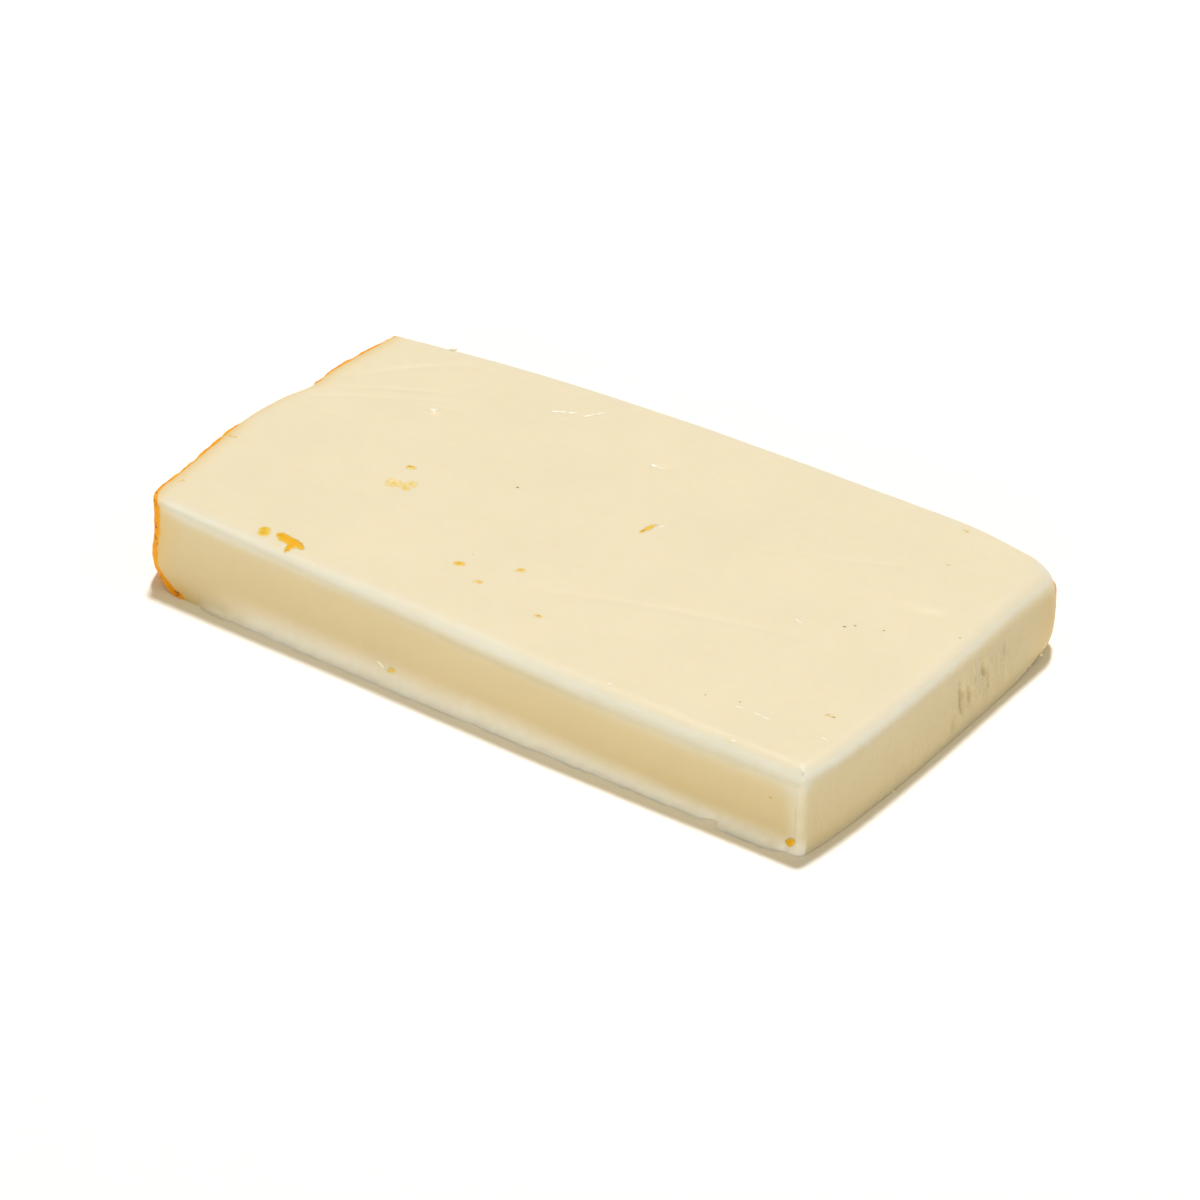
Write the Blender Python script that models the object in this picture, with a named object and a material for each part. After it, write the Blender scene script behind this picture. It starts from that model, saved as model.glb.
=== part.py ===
"""A slab of semi-soft washed-rind cheese, lying on its cut underside.

One solid. The rind end faces -X, and the rind also wraps the corner where +X meets +Y.
The long cuts face -Y and +Y, and the short cut faces +X.
A block is subdivided and then shaped in five steps: its upright corners are rounded, its rims
are rounded, its top is given its uneven thickness, the foot of its rind end is curled under,
and its sides are bowed. The origin ends up on the underside, below the middle of the slab.
"""

import math

import bmesh
import bpy
from mathutils import Matrix, Vector

MM = 0.001

# The straight block that the slab is shaped from. x runs from the rind end to the cut end,
# y from the front cut to the back cut, and z up from the underside.
LENGTH = 147.6 * MM
WIDTH = 84.0 * MM
THICKNESS = 17.0 * MM
CELLS = (48, 28, 10)
CROWDING = 0.82  # how strongly the cells crowd towards the rims, from 0 to 1

# The rind end: it swings outwards from front to back, with a dent and a shoulder in it.
RIND_SWING = 6.3 * MM
RIND_SWING_FULL = 0.5
RIND_DENT = 1.4 * MM
RIND_DENT_PLACE = 0.655
RIND_DENT_SPREAD = 0.065
RIND_LEAN = 1.3 * MM
RIND_SHOULDER_DEPTH = 2.5 * MM
RIND_SHOULDER_RUN = 6.0 * MM
FOOT_REACH = 7.6 * MM
FOOT_HEIGHT = 5.2 * MM

# The cut end bows outwards, mostly near the front.
CUT_END_BOW = 1.9 * MM
CUT_END_BOW_SKEW = 0.6

# The front cut bows outwards too, and the knife smeared a lip along its foot.
FRONT_BOW = 1.3 * MM
FRONT_BOW_SKEW = 0.7
LIP_REACH = 0.6 * MM
LIP_HEIGHT = 1.6 * MM
TONGUE_REACH = 0.8 * MM
TONGUE_START = (0.884, 0.894)
TONGUE_END = (0.965, 0.985)

# The back cut is a long arc with its crest past the middle.
BACK_CREST = 2.6 * MM
BACK_CREST_PLACE = 0.6
BACK_FALL_TO_RIND = 7.3 * MM
BACK_FALL_TO_CUT = 1.5 * MM
BACK_FALL_CURVE = 2.5

# The corner that carries rind: where it starts along and across, and its shape.
RIND_CORNER_ALONG = 0.84
RIND_CORNER_ACROSS = 0.76
RIND_CORNER_BELLY = 0.9 * MM
RIND_CORNER_SLUMP = 0.8 * MM

# How much thicker than the block the slab is at its corners and in its middle.
FRONT_RISE_AT_RIND = 1.7 * MM
FRONT_RISE_AT_CUT = -0.9 * MM
FRONT_RISE_CURVE = 2.2
BACK_RISE_AT_RIND = 1.6 * MM
BACK_RISE_AT_CUT = -0.1 * MM
TOP_SWELL = 0.35 * MM

# Radii of the upright corners.
CORNER_RIND_FRONT = 0.5 * MM
CORNER_CUT_FRONT = 0.4 * MM
CORNER_CUT_BACK = 8.0 * MM
CORNER_RIND_BACK = 1.0 * MM

# Radii of the rims, and the shares of the length and width over which they grow.
TOP_RIM_FRONT = (0.9 * MM, 2.6 * MM)
TOP_RIM_FRONT_GROWS = (0.0, 0.72)
TOP_RIM_CUT = (1.4 * MM, 3.5 * MM)
TOP_RIM_CUT_GROWS = (0.35, 0.9)
TOP_RIM_BACK = (1.1 * MM, 3.5 * MM)
TOP_RIM_BACK_GROWS = (0.86, 1.0)
TOP_RIM_RIND = 0.8 * MM
BOTTOM_RIM = (0.5 * MM, 5.0 * MM)
RIM_BLEND = 0.5 * MM  # how closely a rim keeps to its own radius near a corner

SHARP_EDGE = math.radians(50.0)
PASTE_COLOUR = (0.86, 0.76, 0.55, 1.0)
PASTE_ROUGHNESS = 0.42


def share_of(value, whole):
    """value as a share of whole, held between 0 and 1."""
    return min(max(value / whole, 0.0), 1.0)


def ramp(value, start, full):
    """An ease with level ends, from 0 at start to 1 at full."""
    share = share_of(value - start, full - start)
    return share * share * (3.0 - 2.0 * share)


def mix(low, high, share):
    return low + (high - low) * share


def grown(sizes, place, span):
    """A size that grows from the first of sizes to the second over a span."""
    return mix(*sizes, ramp(place, *span))


def hump(place, middle, spread):
    """A bell of height 1."""
    return math.exp(-(((place - middle) / spread) ** 2))


def crowd(share):
    """Moves evenly spaced cuts towards both ends."""
    return share - CROWDING * math.sin(2.0 * math.pi * share) / (2.0 * math.pi)


def block():
    """A closed block of quads from the origin, with its cells crowded towards its rims."""
    bm = bmesh.new()
    bmesh.ops.create_cube(bm, size=1.0, matrix=Matrix.Translation((0.5, 0.5, 0.5)))
    for axis, cells in enumerate(CELLS):
        along = [e for e in bm.edges if abs(e.verts[0].co[axis] - e.verts[1].co[axis]) > 0.5]
        bmesh.ops.subdivide_edges(bm, edges=along, cuts=cells - 1, use_grid_fill=True)
    for vert in bm.verts:
        vert.co.x = LENGTH * crowd(vert.co.x)
        vert.co.y = WIDTH * crowd(vert.co.y)
        vert.co.z = THICKNESS * crowd(vert.co.z)
    return bm


def corner_radius(x, y):
    """The radius of the upright corner nearest to a place in the plan."""
    if x < LENGTH / 2.0:
        return CORNER_RIND_FRONT if y < WIDTH / 2.0 else CORNER_RIND_BACK
    return CORNER_CUT_FRONT if y < WIDTH / 2.0 else CORNER_CUT_BACK


def round_corner(x, y):
    """Bends the square corners of the plan to arcs, shell by shell.

    Returns the new place and the outward direction there."""
    radius = corner_radius(x, y)
    inner = Vector((min(max(x, radius), LENGTH - radius), min(max(y, radius), WIDTH - radius)))
    offset = Vector((x, y)) - inner
    if abs(offset.x) > 0.0 and abs(offset.y) > 0.0:
        shell = max(abs(offset.x), abs(offset.y))
        outward = offset.normalized()
        return inner + outward * shell, outward
    sides = (
        (x, Vector((-1.0, 0.0))),
        (LENGTH - x, Vector((1.0, 0.0))),
        (y, Vector((0.0, -1.0))),
        (WIDTH - y, Vector((0.0, 1.0))),
    )
    return Vector((x, y)), min(sides, key=lambda side: side[0])[1]


def side_shares(x, y):
    """How much each side counts at a place, in the order rind end, cut end, front, back."""
    nearness = [1.0 / (gap + RIM_BLEND) ** 2 for gap in (x, LENGTH - x, y, WIDTH - y)]
    total = sum(nearness)
    return [value / total for value in nearness]


def rind_corner(x, y):
    """1 at the corner that carries rind, fading to 0 around it."""
    along = ramp(x / LENGTH, RIND_CORNER_ALONG, 1.0)
    return along * ramp(y / WIDTH, RIND_CORNER_ACROSS, 1.0)


def top_rim(x, y):
    """The radius of the rounding between the top and the sides."""
    radii = (
        TOP_RIM_RIND,
        grown(TOP_RIM_CUT, y / WIDTH, TOP_RIM_CUT_GROWS),
        grown(TOP_RIM_FRONT, x / LENGTH, TOP_RIM_FRONT_GROWS),
        grown(TOP_RIM_BACK, x / LENGTH, TOP_RIM_BACK_GROWS),
    )
    return sum(share * radius for share, radius in zip(side_shares(x, y), radii))


def round_rim(gap, depth, radius):
    """Carries a point of a square rim onto an arc.

    gap is its distance in from the side and depth its distance from the top or underside.
    Returns the new gap and depth."""
    if gap >= radius or depth >= radius:
        return gap, depth
    outward = radius - gap
    upward = radius - depth
    length = math.hypot(outward, upward)
    return radius - radius * outward / length, radius - radius * upward / length


def curl_foot(x, z):
    """Bends the foot of the rind end under, layer by layer, on an elliptic arc."""
    outward = (FOOT_REACH - x) / FOOT_REACH
    downward = (FOOT_HEIGHT - z) / FOOT_HEIGHT
    if outward <= 0.0 or downward <= 0.0:
        return x, z
    tightening = max(outward, downward) / math.hypot(outward, downward)
    return (
        FOOT_REACH * (1.0 - outward * tightening),
        FOOT_HEIGHT * (1.0 - downward * tightening),
    )


def rise(x, y):
    """How much thicker than the block the slab is at a place."""
    along = share_of(x, LENGTH)
    across = share_of(y, WIDTH)
    front = mix(FRONT_RISE_AT_CUT, FRONT_RISE_AT_RIND, (1.0 - along) ** FRONT_RISE_CURVE)
    back = mix(BACK_RISE_AT_RIND, BACK_RISE_AT_CUT, along)
    swell = TOP_SWELL * math.sin(math.pi * along) * math.sin(math.pi * across)
    return mix(front, back, across) + swell - RIND_CORNER_SLUMP * rind_corner(x, y)


def rind_end_reach(y, level):
    """How far the rind end stands out of the block."""
    across = share_of(y, WIDTH)
    reach = RIND_SWING * ramp(across, 0.0, RIND_SWING_FULL)
    reach -= RIND_DENT * hump(across, RIND_DENT_PLACE, RIND_DENT_SPREAD)
    reach += RIND_LEAN * ramp(level, 1.0, 0.0)
    return reach - RIND_SHOULDER_DEPTH * (1.0 - share_of(y, RIND_SHOULDER_RUN)) ** 2


def cut_end_reach(across, belly):
    """How far the cut end stands out of the block."""
    return CUT_END_BOW * math.sin(math.pi * across**CUT_END_BOW_SKEW) + belly * across**4


def front_reach(along, z):
    """How far the front cut stands out of the block, with the lip along its foot."""
    tongue = ramp(along, *TONGUE_START) * (1.0 - ramp(along, *TONGUE_END))
    lip = (LIP_REACH + TONGUE_REACH * tongue) * math.exp(-z / LIP_HEIGHT)
    return FRONT_BOW * math.sin(math.pi * along**FRONT_BOW_SKEW) + lip


def back_reach(along, belly):
    """How far the back cut stands out of the block."""
    if along < BACK_CREST_PLACE:
        fall = BACK_FALL_TO_RIND * (1.0 - along / BACK_CREST_PLACE) ** BACK_FALL_CURVE
    else:
        fall = BACK_FALL_TO_CUT * share_of(along - BACK_CREST_PLACE, 1.0 - BACK_CREST_PLACE) ** 2
    return BACK_CREST - fall + belly * along**8


def bow_sides(x, y, z):
    """Moves a place outwards as the sides run."""
    along = share_of(x, LENGTH)
    across = share_of(y, WIDTH)
    level = share_of(z, THICKNESS)
    belly = RIND_CORNER_BELLY * math.sin(math.pi * level)
    bowed_x = x - (1.0 - along) * rind_end_reach(y, level) + along * cut_end_reach(across, belly)
    bowed_y = y - (1.0 - across) * front_reach(along, z) + across * back_reach(along, belly)
    return bowed_x, bowed_y


def shape(place):
    """Where a point of the block's surface lies on the finished slab."""
    x, y, z = place
    gap = min(x, LENGTH - x, y, WIDTH - y)
    plan, outward = round_corner(x, y)
    if z > THICKNESS / 2.0:
        new_gap, depth = round_rim(gap, THICKNESS - z, top_rim(x, y))
        level = THICKNESS - depth
    else:
        new_gap, level = round_rim(gap, z, mix(*BOTTOM_RIM, rind_corner(x, y)))
    plan -= outward * (new_gap - gap)
    thickening = 1.0 + rise(plan.x, plan.y) / THICKNESS
    curled, level = curl_foot(x, level)
    plan.x += curled - x
    return Vector((*bow_sides(plan.x, plan.y, level), level * thickening))


def paste():
    material = bpy.data.materials.new("cheese_paste")
    material.use_nodes = True
    shader = material.node_tree.nodes["Principled BSDF"]
    shader.inputs["Base Color"].default_value = PASTE_COLOUR
    shader.inputs["Roughness"].default_value = PASTE_ROUGHNESS
    shader.inputs["Metallic"].default_value = 0.0
    return material


def cheese_slab():
    bm = block()
    for vert in bm.verts:
        vert.co = shape(vert.co)
    low = Vector([min(v.co[axis] for v in bm.verts) for axis in range(3)])
    high = Vector([max(v.co[axis] for v in bm.verts) for axis in range(3)])
    underside_middle = Vector(((low.x + high.x) / 2.0, (low.y + high.y) / 2.0, low.z))
    bmesh.ops.translate(bm, verts=bm.verts, vec=-underside_middle)
    bmesh.ops.recalc_face_normals(bm, faces=bm.faces)
    mesh = bpy.data.meshes.new("cheese_slab")
    bm.to_mesh(mesh)
    bm.free()
    mesh.shade_smooth()
    mesh.set_sharp_from_angle(angle=SHARP_EDGE)
    mesh.materials.append(paste())
    slab = bpy.data.objects.new("cheese_slab", mesh)
    bpy.context.scene.collection.objects.link(slab)


def main():
    for old in list(bpy.data.objects):
        bpy.data.objects.remove(old, do_unlink=True)
    cheese_slab()


main()
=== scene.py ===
"""The looks of a slab of semi-soft washed-rind cheese, laid out as a Blender add-on.

The slab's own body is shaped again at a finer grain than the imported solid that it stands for.
Rind flecks, dark specks, shreds of paste and crumbs are laid on it as pieces of their own.
Lengths are in metres. +X runs from the rind end to the cut end, +Y from the front cut to the
back cut, and +Z up from the underside. Places on the slab are given from its origin.
"""

import math
from collections import namedtuple

import bmesh
import bpy
from bpy.props import FloatProperty, FloatVectorProperty, IntVectorProperty, PointerProperty
from mathutils import Matrix, Vector, noise
from mathutils.bvhtree import BVHTree


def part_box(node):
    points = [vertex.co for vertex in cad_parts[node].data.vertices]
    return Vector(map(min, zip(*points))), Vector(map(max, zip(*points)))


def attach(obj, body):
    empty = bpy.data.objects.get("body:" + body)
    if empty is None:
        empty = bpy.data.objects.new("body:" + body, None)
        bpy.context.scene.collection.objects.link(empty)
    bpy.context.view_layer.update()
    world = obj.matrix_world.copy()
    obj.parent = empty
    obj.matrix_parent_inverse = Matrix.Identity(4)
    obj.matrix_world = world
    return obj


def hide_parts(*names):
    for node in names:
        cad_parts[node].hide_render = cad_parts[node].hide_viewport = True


bl_info = {
    "name": "Washed-rind cheese slab",
    "version": (1, 0, 0),
    "blender": (4, 5, 0),
    "location": "3D View > Sidebar > Cheese",
    "description": "Builds a slab of semi-soft washed-rind cheese with its rind, flecks and crumbs",
    "category": "Object",
}

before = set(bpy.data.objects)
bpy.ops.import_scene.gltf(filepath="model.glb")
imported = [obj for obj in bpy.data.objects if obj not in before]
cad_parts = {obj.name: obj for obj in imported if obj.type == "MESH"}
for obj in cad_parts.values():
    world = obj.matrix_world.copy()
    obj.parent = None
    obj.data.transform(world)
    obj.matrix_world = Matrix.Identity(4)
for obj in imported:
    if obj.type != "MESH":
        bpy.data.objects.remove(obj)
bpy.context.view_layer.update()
SLAB_NODE = "cheese_slab"
SLAB_LOW, SLAB_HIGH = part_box(SLAB_NODE)
BODY_NAME = "cheese_body"
FLECKS_NAME = "rind_flecks"

MM = 0.001

# ---- Sizes

# The straight block that the slab is shaped from. x runs from the rind end, y from the front
# cut, and z from the underside.
LENGTH = 147.6 * MM
WIDTH = 84.0 * MM
THICKNESS = 17.0 * MM

# The rind end: it swings outwards from front to back, with a dent and a shoulder in it.
RIND_SWING = 6.3 * MM
RIND_SWING_FULL = 0.5
RIND_DENT = 1.4 * MM
RIND_DENT_PLACE = 0.655
RIND_DENT_SPREAD = 0.065
RIND_LEAN = 1.3 * MM
RIND_BELLY = 0.5 * MM
RIND_BELLY_LEVEL = (0.34, 0.22)
RIND_BELLY_ENDS = 0.5
RIND_SHOULDER_DEPTH = 2.5 * MM
RIND_SHOULDER_RUN = 6.0 * MM
FOOT_REACH = (7.6 * MM, 5.0 * MM)
FOOT_HEIGHT = (4.2 * MM, 3.4 * MM)
FOOT_GROWS = (0.0, 0.2)

# The cut end bows outwards, mostly near the front.
CUT_END_BOW = 1.9 * MM
CUT_END_BOW_SKEW = 0.6

# The front cut bows outwards too, and the knife smeared a lip along its foot.
FRONT_BOW = 1.3 * MM
FRONT_BOW_SKEW = 0.7
FRONT_BOW_AT_TOP = (0.2, 1.0)
FRONT_BOW_AT_TOP_GROWS = (0.3, 0.7)
LIP_REACH = 0.8 * MM
LIP_FLARE = 1.2 * MM
LIP_FLARE_HEIGHT = 1.1 * MM
LIP_HOLLOW_HEIGHT = 4.0 * MM
LIP_THINS = 0.6
LIP_THINS_FROM = 0.95
TONGUE_REACH = 0.9 * MM
NOTCH_START = (0.862, 0.880)
TONGUE_START = (0.884, 0.894)
TONGUE_END = (0.965, 0.985)

# The back cut is a long arc with its crest past the middle.
BACK_CREST = 2.6 * MM
BACK_CREST_PLACE = 0.6
BACK_FALL_TO_RIND = 7.3 * MM
BACK_FALL_TO_CUT = 1.5 * MM
BACK_FALL_CURVE = 2.5

# The corner that carries rind: where it starts along and across, and its shape.
RIND_CORNER_ALONG = 0.84
RIND_CORNER_ACROSS = 0.76
RIND_CORNER_BELLY = 0.9 * MM
RIND_CORNER_SLUMP = 0.8 * MM

# How much thicker than the block the slab is at its corners and in its middle.
FRONT_RISE_AT_RIND = 1.7 * MM
FRONT_RISE_AT_CUT = -0.9 * MM
FRONT_RISE_CURVE = 1.7
BACK_RISE_AT_RIND = 1.6 * MM
BACK_RISE_AT_CUT = -0.1 * MM
TOP_SWELL = 0.35 * MM

# Radii of the upright corners.
CORNER_RIND_FRONT = 0.5 * MM
CORNER_CUT_FRONT = 1.1 * MM
CORNER_CUT_BACK = 8.0 * MM
CORNER_RIND_BACK = 1.0 * MM

# Radii of the rims, and the shares of the length and width over which they grow.
TOP_RIM_FRONT = (1.1 * MM, 3.6 * MM)
TOP_RIM_FRONT_GROWS = (0.0, 0.72)
TOP_RIM_CUT = (3.0 * MM, 4.0 * MM)
TOP_RIM_CUT_GROWS = (0.35, 0.9)
TOP_RIM_BACK = (1.1 * MM, 3.5 * MM)
TOP_RIM_BACK_GROWS = (0.86, 1.0)
TOP_RIM_RIND = 0.8 * MM
BOTTOM_RIM = (0.12 * MM, 5.0 * MM)
RIM_BLEND = 0.5 * MM

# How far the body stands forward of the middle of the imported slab.
FORWARD_SHIFT = 0.7 * MM

# How strongly the cells crowd towards the rims along x, y and z.
CROWDING = (0.35, 0.35, 0.55)
SHARP_EDGE = math.radians(55.0)

# Relief starts to move places up and down over this height above the floor.
RELIEF_FROM = 0.4 * MM


# ---- Marks on the slab, each at a place in millimetres from the slab's origin

Groove = namedtuple("Groove", "start end sag depth width")
Dent = namedtuple("Dent", "place size turn depth")
Mark = namedtuple("Mark", "face middle strokes crown")
Crumb = namedtuple("Crumb", "place size turn")

# Dashes in a row: the shares of a step that they take up in turn, and how they thin.
DASH_LENGTHS = (0.75, 0.5)
DASH_THINNING = 0.6


def laid(x, y, crown, *strokes, face="top"):
    """A mark's middle, how high it stands and its strokes.

    A stroke runs from one round end to the other: x, y and radius of each."""
    return Mark(face, (x, y), strokes, crown)


def dashes(start, end, count, radius):
    """Short strokes in a broken row, each thinning towards its far end."""
    first = Vector(start)
    step = (Vector(end) - first) / count
    strokes = []
    for index in range(count):
        near = first + step * index
        far = near + step * DASH_LENGTHS[index % 2]
        strokes.append((near.x, near.y, radius, far.x, far.y, DASH_THINNING * radius))
    return strokes


# Lines that the knife dragged over the top: shallow ledges, slightly bowed.
KNIFE_LINES = (
    Groove((2.8, -26.0), (56.5, -7.7), 1.2, 0.07, 0.9),
    Groove((16.8, 35.8), (41.3, 19.1), -0.8, 0.06, 0.9),
    Groove((-75.0, 4.0), (-48.0, 21.0), 0.9, 0.06, 0.8),
    Groove((-74.0, 9.5), (-50.0, 24.0), 0.7, 0.07, 0.8),
    Groove((-72.6, 15.4), (-54.0, 37.0), 1.6, 0.10, 1.0),
    Groove((-71.0, 1.0), (-57.0, 3.0), 0.4, 0.05, 0.7),
    Groove((-66.0, 10.5), (-38.0, 20.5), 0.6, 0.05, 0.8),
    Groove((-60.0, -24.0), (-18.0, -12.0), 1.0, 0.04, 1.1),
    Groove((22.0, 8.0), (63.0, 27.0), -0.9, 0.04, 1.0),
)

# Hollows and swellings in the top: a dent's depth is below zero where it stands up.
TOP_DENTS = (
    Dent((-37.9, -10.4), (1.5, 1.0), 0.5, 0.35),
    Dent((-35.8, -10.2), (1.3, 1.1), -0.4, 0.35),
    Dent((-50.1, 15.4), (1.0, 0.8), 0.0, -0.28),
    Dent((-48.7, 13.8), (1.2, 0.8), 0.0, 0.16),
    Dent((-2.0, 24.6), (2.4, 1.1), 0.2, 0.20),
    Dent((64.0, 13.4), (5.2, 1.5), 0.2, -0.16),
    Dent((66.4, 11.0), (3.5, 1.2), 0.3, 0.10),
    Dent((11.9, 6.4), (0.8, 0.6), 0.0, 0.18),
    Dent((48.9, -3.6), (1.0, 0.5), 0.3, -0.10),
)

# Tears and scrapes in the cut end, as places across it and up it.
CUT_END_TEARS = (
    Dent((4.0, 7.8), (0.7, 3.0), 0.16, 0.55),
    Dent((6.9, 7.0), (0.5, 2.2), 0.25, 0.30),
    Dent((2.4, 3.6), (0.8, 1.6), 0.1, 0.30),
    Dent((11.6, 10.1), (0.6, 1.3), 0.2, 0.38),
    Dent((13.4, 7.2), (0.4, 1.9), 0.1, 0.25),
    Dent((18.9, 10.6), (0.4, 1.7), 0.15, 0.28),
)

# Flecks of rind that the knife carried over the paste.
RIND_FLECKS = (
    laid(
        -38.4, -39.4, 0.3,
        (-3.2, 1.4, 1.0, -1.9, 1.0, 1.35),
        (-2.0, 0.9, 1.2, -0.3, 0.7, 1.0),
        (-0.4, 1.0, 1.2, 1.1, 0.6, 1.35),
        (1.1, 0.6, 1.3, 3.0, 0.3, 0.5),
        (0.8, 0.0, 1.1, 1.2, -2.2, 0.5),
    ),
    laid(-44.9, -39.1, 0.19, (-0.4, 0.7, 1.2, 0.4, -0.3, 1.4)),
    laid(-38.1, -10.7, 0.075, (-0.6, 0.4, 1.3, 0.5, -0.3, 1.5), (-0.2, -1.2, 0.9, 0.7, 0.8, 0.9)),
    laid(-35.4, -9.9, 0.075, (-0.5, -0.3, 1.4, 0.5, 0.5, 1.6), (0.1, 1.3, 0.9, 0.8, -1.2, 1.0)),
    laid(-35.2, -10.6, 0.2, (-0.5, 0.3, 0.5, 0.5, -0.4, 0.65)),
    laid(-38.4, -10.9, 0.18, (-0.6, -0.1, 0.4, 0.4, 0.2, 0.5)),
    laid(-39.0, -4.3, 0.21, (-0.5, -0.1, 0.7, 0.5, 0.1, 0.7)),
    laid(9.8, 4.7, 0.22, (-0.2, -1.7, 0.55, 0.0, 0.2, 0.65), (0.0, 0.2, 0.7, 0.3, 2.2, 0.3)),
    laid(-9.7, -25.8, 0.22, (-0.5, -0.2, 0.75, 0.4, 0.2, 0.8)),
    laid(-3.2, -28.5, 0.19, (-0.4, -0.1, 0.6, 0.3, 0.1, 0.6)),
    laid(0.4, -20.7, 0.2, (-0.3, -0.3, 0.6, 0.3, 0.2, 0.6)),
    laid(12.2, -30.8, 0.19, (-0.3, 0.0, 0.55, 0.4, 0.1, 0.5)),
    laid(-69.3, -35.1, 0.2, (-0.3, -0.5, 0.2, 0.1, 0.5, 0.3)),
    laid(-73.4, -16.2, 0.2, (-0.9, 0.0, 0.3, 0.6, 0.3, 0.22)),
    laid(56.1, 40.1, 0.18, (-0.4, 0.0, 0.3, 0.4, 0.0, 0.3)),
    laid(59.9, 27.8, 0.18, (-0.2, 0.0, 0.32, 0.3, 0.0, 0.26)),
    laid(70.4, -25.7, 0.18, (-0.7, -0.2, 0.25, 0.8, 0.0, 0.25)),
    laid(-10.8, 3.6, 0.2, (-0.5, -0.2, 0.5, 0.4, 0.2, 0.65), face="front"),
    laid(74.7, 2.2, 0.36, (-0.3, -0.3, 0.75, 0.3, 0.3, 0.7), face="front"),
    laid(70.4, 9.2, 0.16, (-0.1, 0.0, 0.24, 0.1, 0.1, 0.24), face="front"),
    laid(-17.3, 7.0, 0.14, (-0.1, 0.0, 0.2, 0.2, 0.0, 0.2), face="front"),
    laid(31.0, 9.5, 0.18, (-0.9, 0.1, 0.5, 0.6, -0.2, 0.6), face="back"),
    laid(38.5, 5.2, 0.12, (-0.2, 0.0, 0.35, 0.3, 0.1, 0.3), face="back"),
    laid(-22.0, 12.6, 0.12, (-0.3, 0.1, 0.35, 0.4, -0.1, 0.3), face="back"),
)

# Dark specks and slivers, some of them on the flecks.
SPECK_RAGGEDNESS = 0.3
DARK_SPECKS = (
    laid(-38.4, -39.4, 0.05, (-1.2, 1.7, 0.1, 0.4, 1.9, 0.15), (0.4, 1.9, 0.15, 2.9, 0.7, 0.12)),
    laid(-38.4, -39.4, 0.05, (1.2, -2.4, 0.14, 1.5, -1.4, 0.08)),
    laid(-38.4, -39.4, 0.05, (-3.6, 0.9, 0.08, -2.6, 1.1, 0.12)),
    laid(-44.9, -39.6, 0.05, (-0.6, -0.3, 0.1, 0.4, 0.1, 0.14)),
    laid(-45.4, -38.8, 0.05, (-0.5, 0.2, 0.08, 0.1, 0.4, 0.1)),
    laid(-39.1, -4.3, 0.06, (-0.3, -0.1, 0.12, 0.2, 0.1, 0.16)),
    laid(9.7, 3.4, 0.06, (0.0, -0.5, 0.14, 0.1, 0.6, 0.12)),
    laid(-9.7, -25.8, 0.05, (-0.1, -0.4, 0.1, 0.1, 0.4, 0.1)),
    laid(-3.2, -28.5, 0.05, (-0.1, -0.3, 0.08, 0.1, 0.3, 0.1)),
    laid(0.4, -20.7, 0.05, (0.0, -0.2, 0.1, 0.1, 0.3, 0.12)),
    laid(12.2, -30.8, 0.05, (-0.2, 0.0, 0.1, 0.2, 0.0, 0.13)),
    laid(-18.4, 2.1, 0.08, (-0.2, 0.0, 0.26, 0.1, 0.0, 0.24)),
    laid(-10.0, -21.8, 0.04, (-0.1, 0.0, 0.12, 0.2, 0.0, 0.12)),
    laid(-3.3, -23.5, 0.04, (0.0, -0.2, 0.06, 0.0, 0.2, 0.08)),
    laid(56.8, -1.0, 0.07, (-0.1, -0.1, 0.26, 0.1, 0.1, 0.22)),
    laid(58.0, 0.4, 0.06, (-0.1, 0.0, 0.2, 0.2, 0.0, 0.18)),
    laid(57.3, -0.6, 0.04, (-0.1, 0.0, 0.13, 0.1, 0.0, 0.12)),
    laid(62.9, 2.1, 0.06, (-0.1, 0.0, 0.2, 0.1, 0.0, 0.2)),
    laid(74.6, 8.3, 0.06, (-0.1, 0.0, 0.16, 0.1, 0.0, 0.16)),
    laid(69.8, -25.6, 0.05, (-0.3, 0.0, 0.1, 0.2, 0.1, 0.12)),
    laid(71.1, -25.8, 0.05, (-0.2, 0.0, 0.12, 0.2, 0.1, 0.12)),
    laid(49.9, -33.1, 0.06, (-0.1, 0.0, 0.14, 0.1, 0.0, 0.14)),
    laid(55.8, -31.3, 0.06, (-0.1, 0.0, 0.14, 0.1, 0.1, 0.14)),
    laid(70.7, -16.6, 0.05, (-0.1, 0.0, 0.11, 0.1, 0.0, 0.11)),
    laid(59.9, 27.8, 0.04, (-0.1, 0.0, 0.08, 0.1, 0.0, 0.08)),
    laid(31.0, 9.5, 0.05, (-0.5, 0.0, 0.12, 0.2, 0.1, 0.12), face="back"),
)

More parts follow.
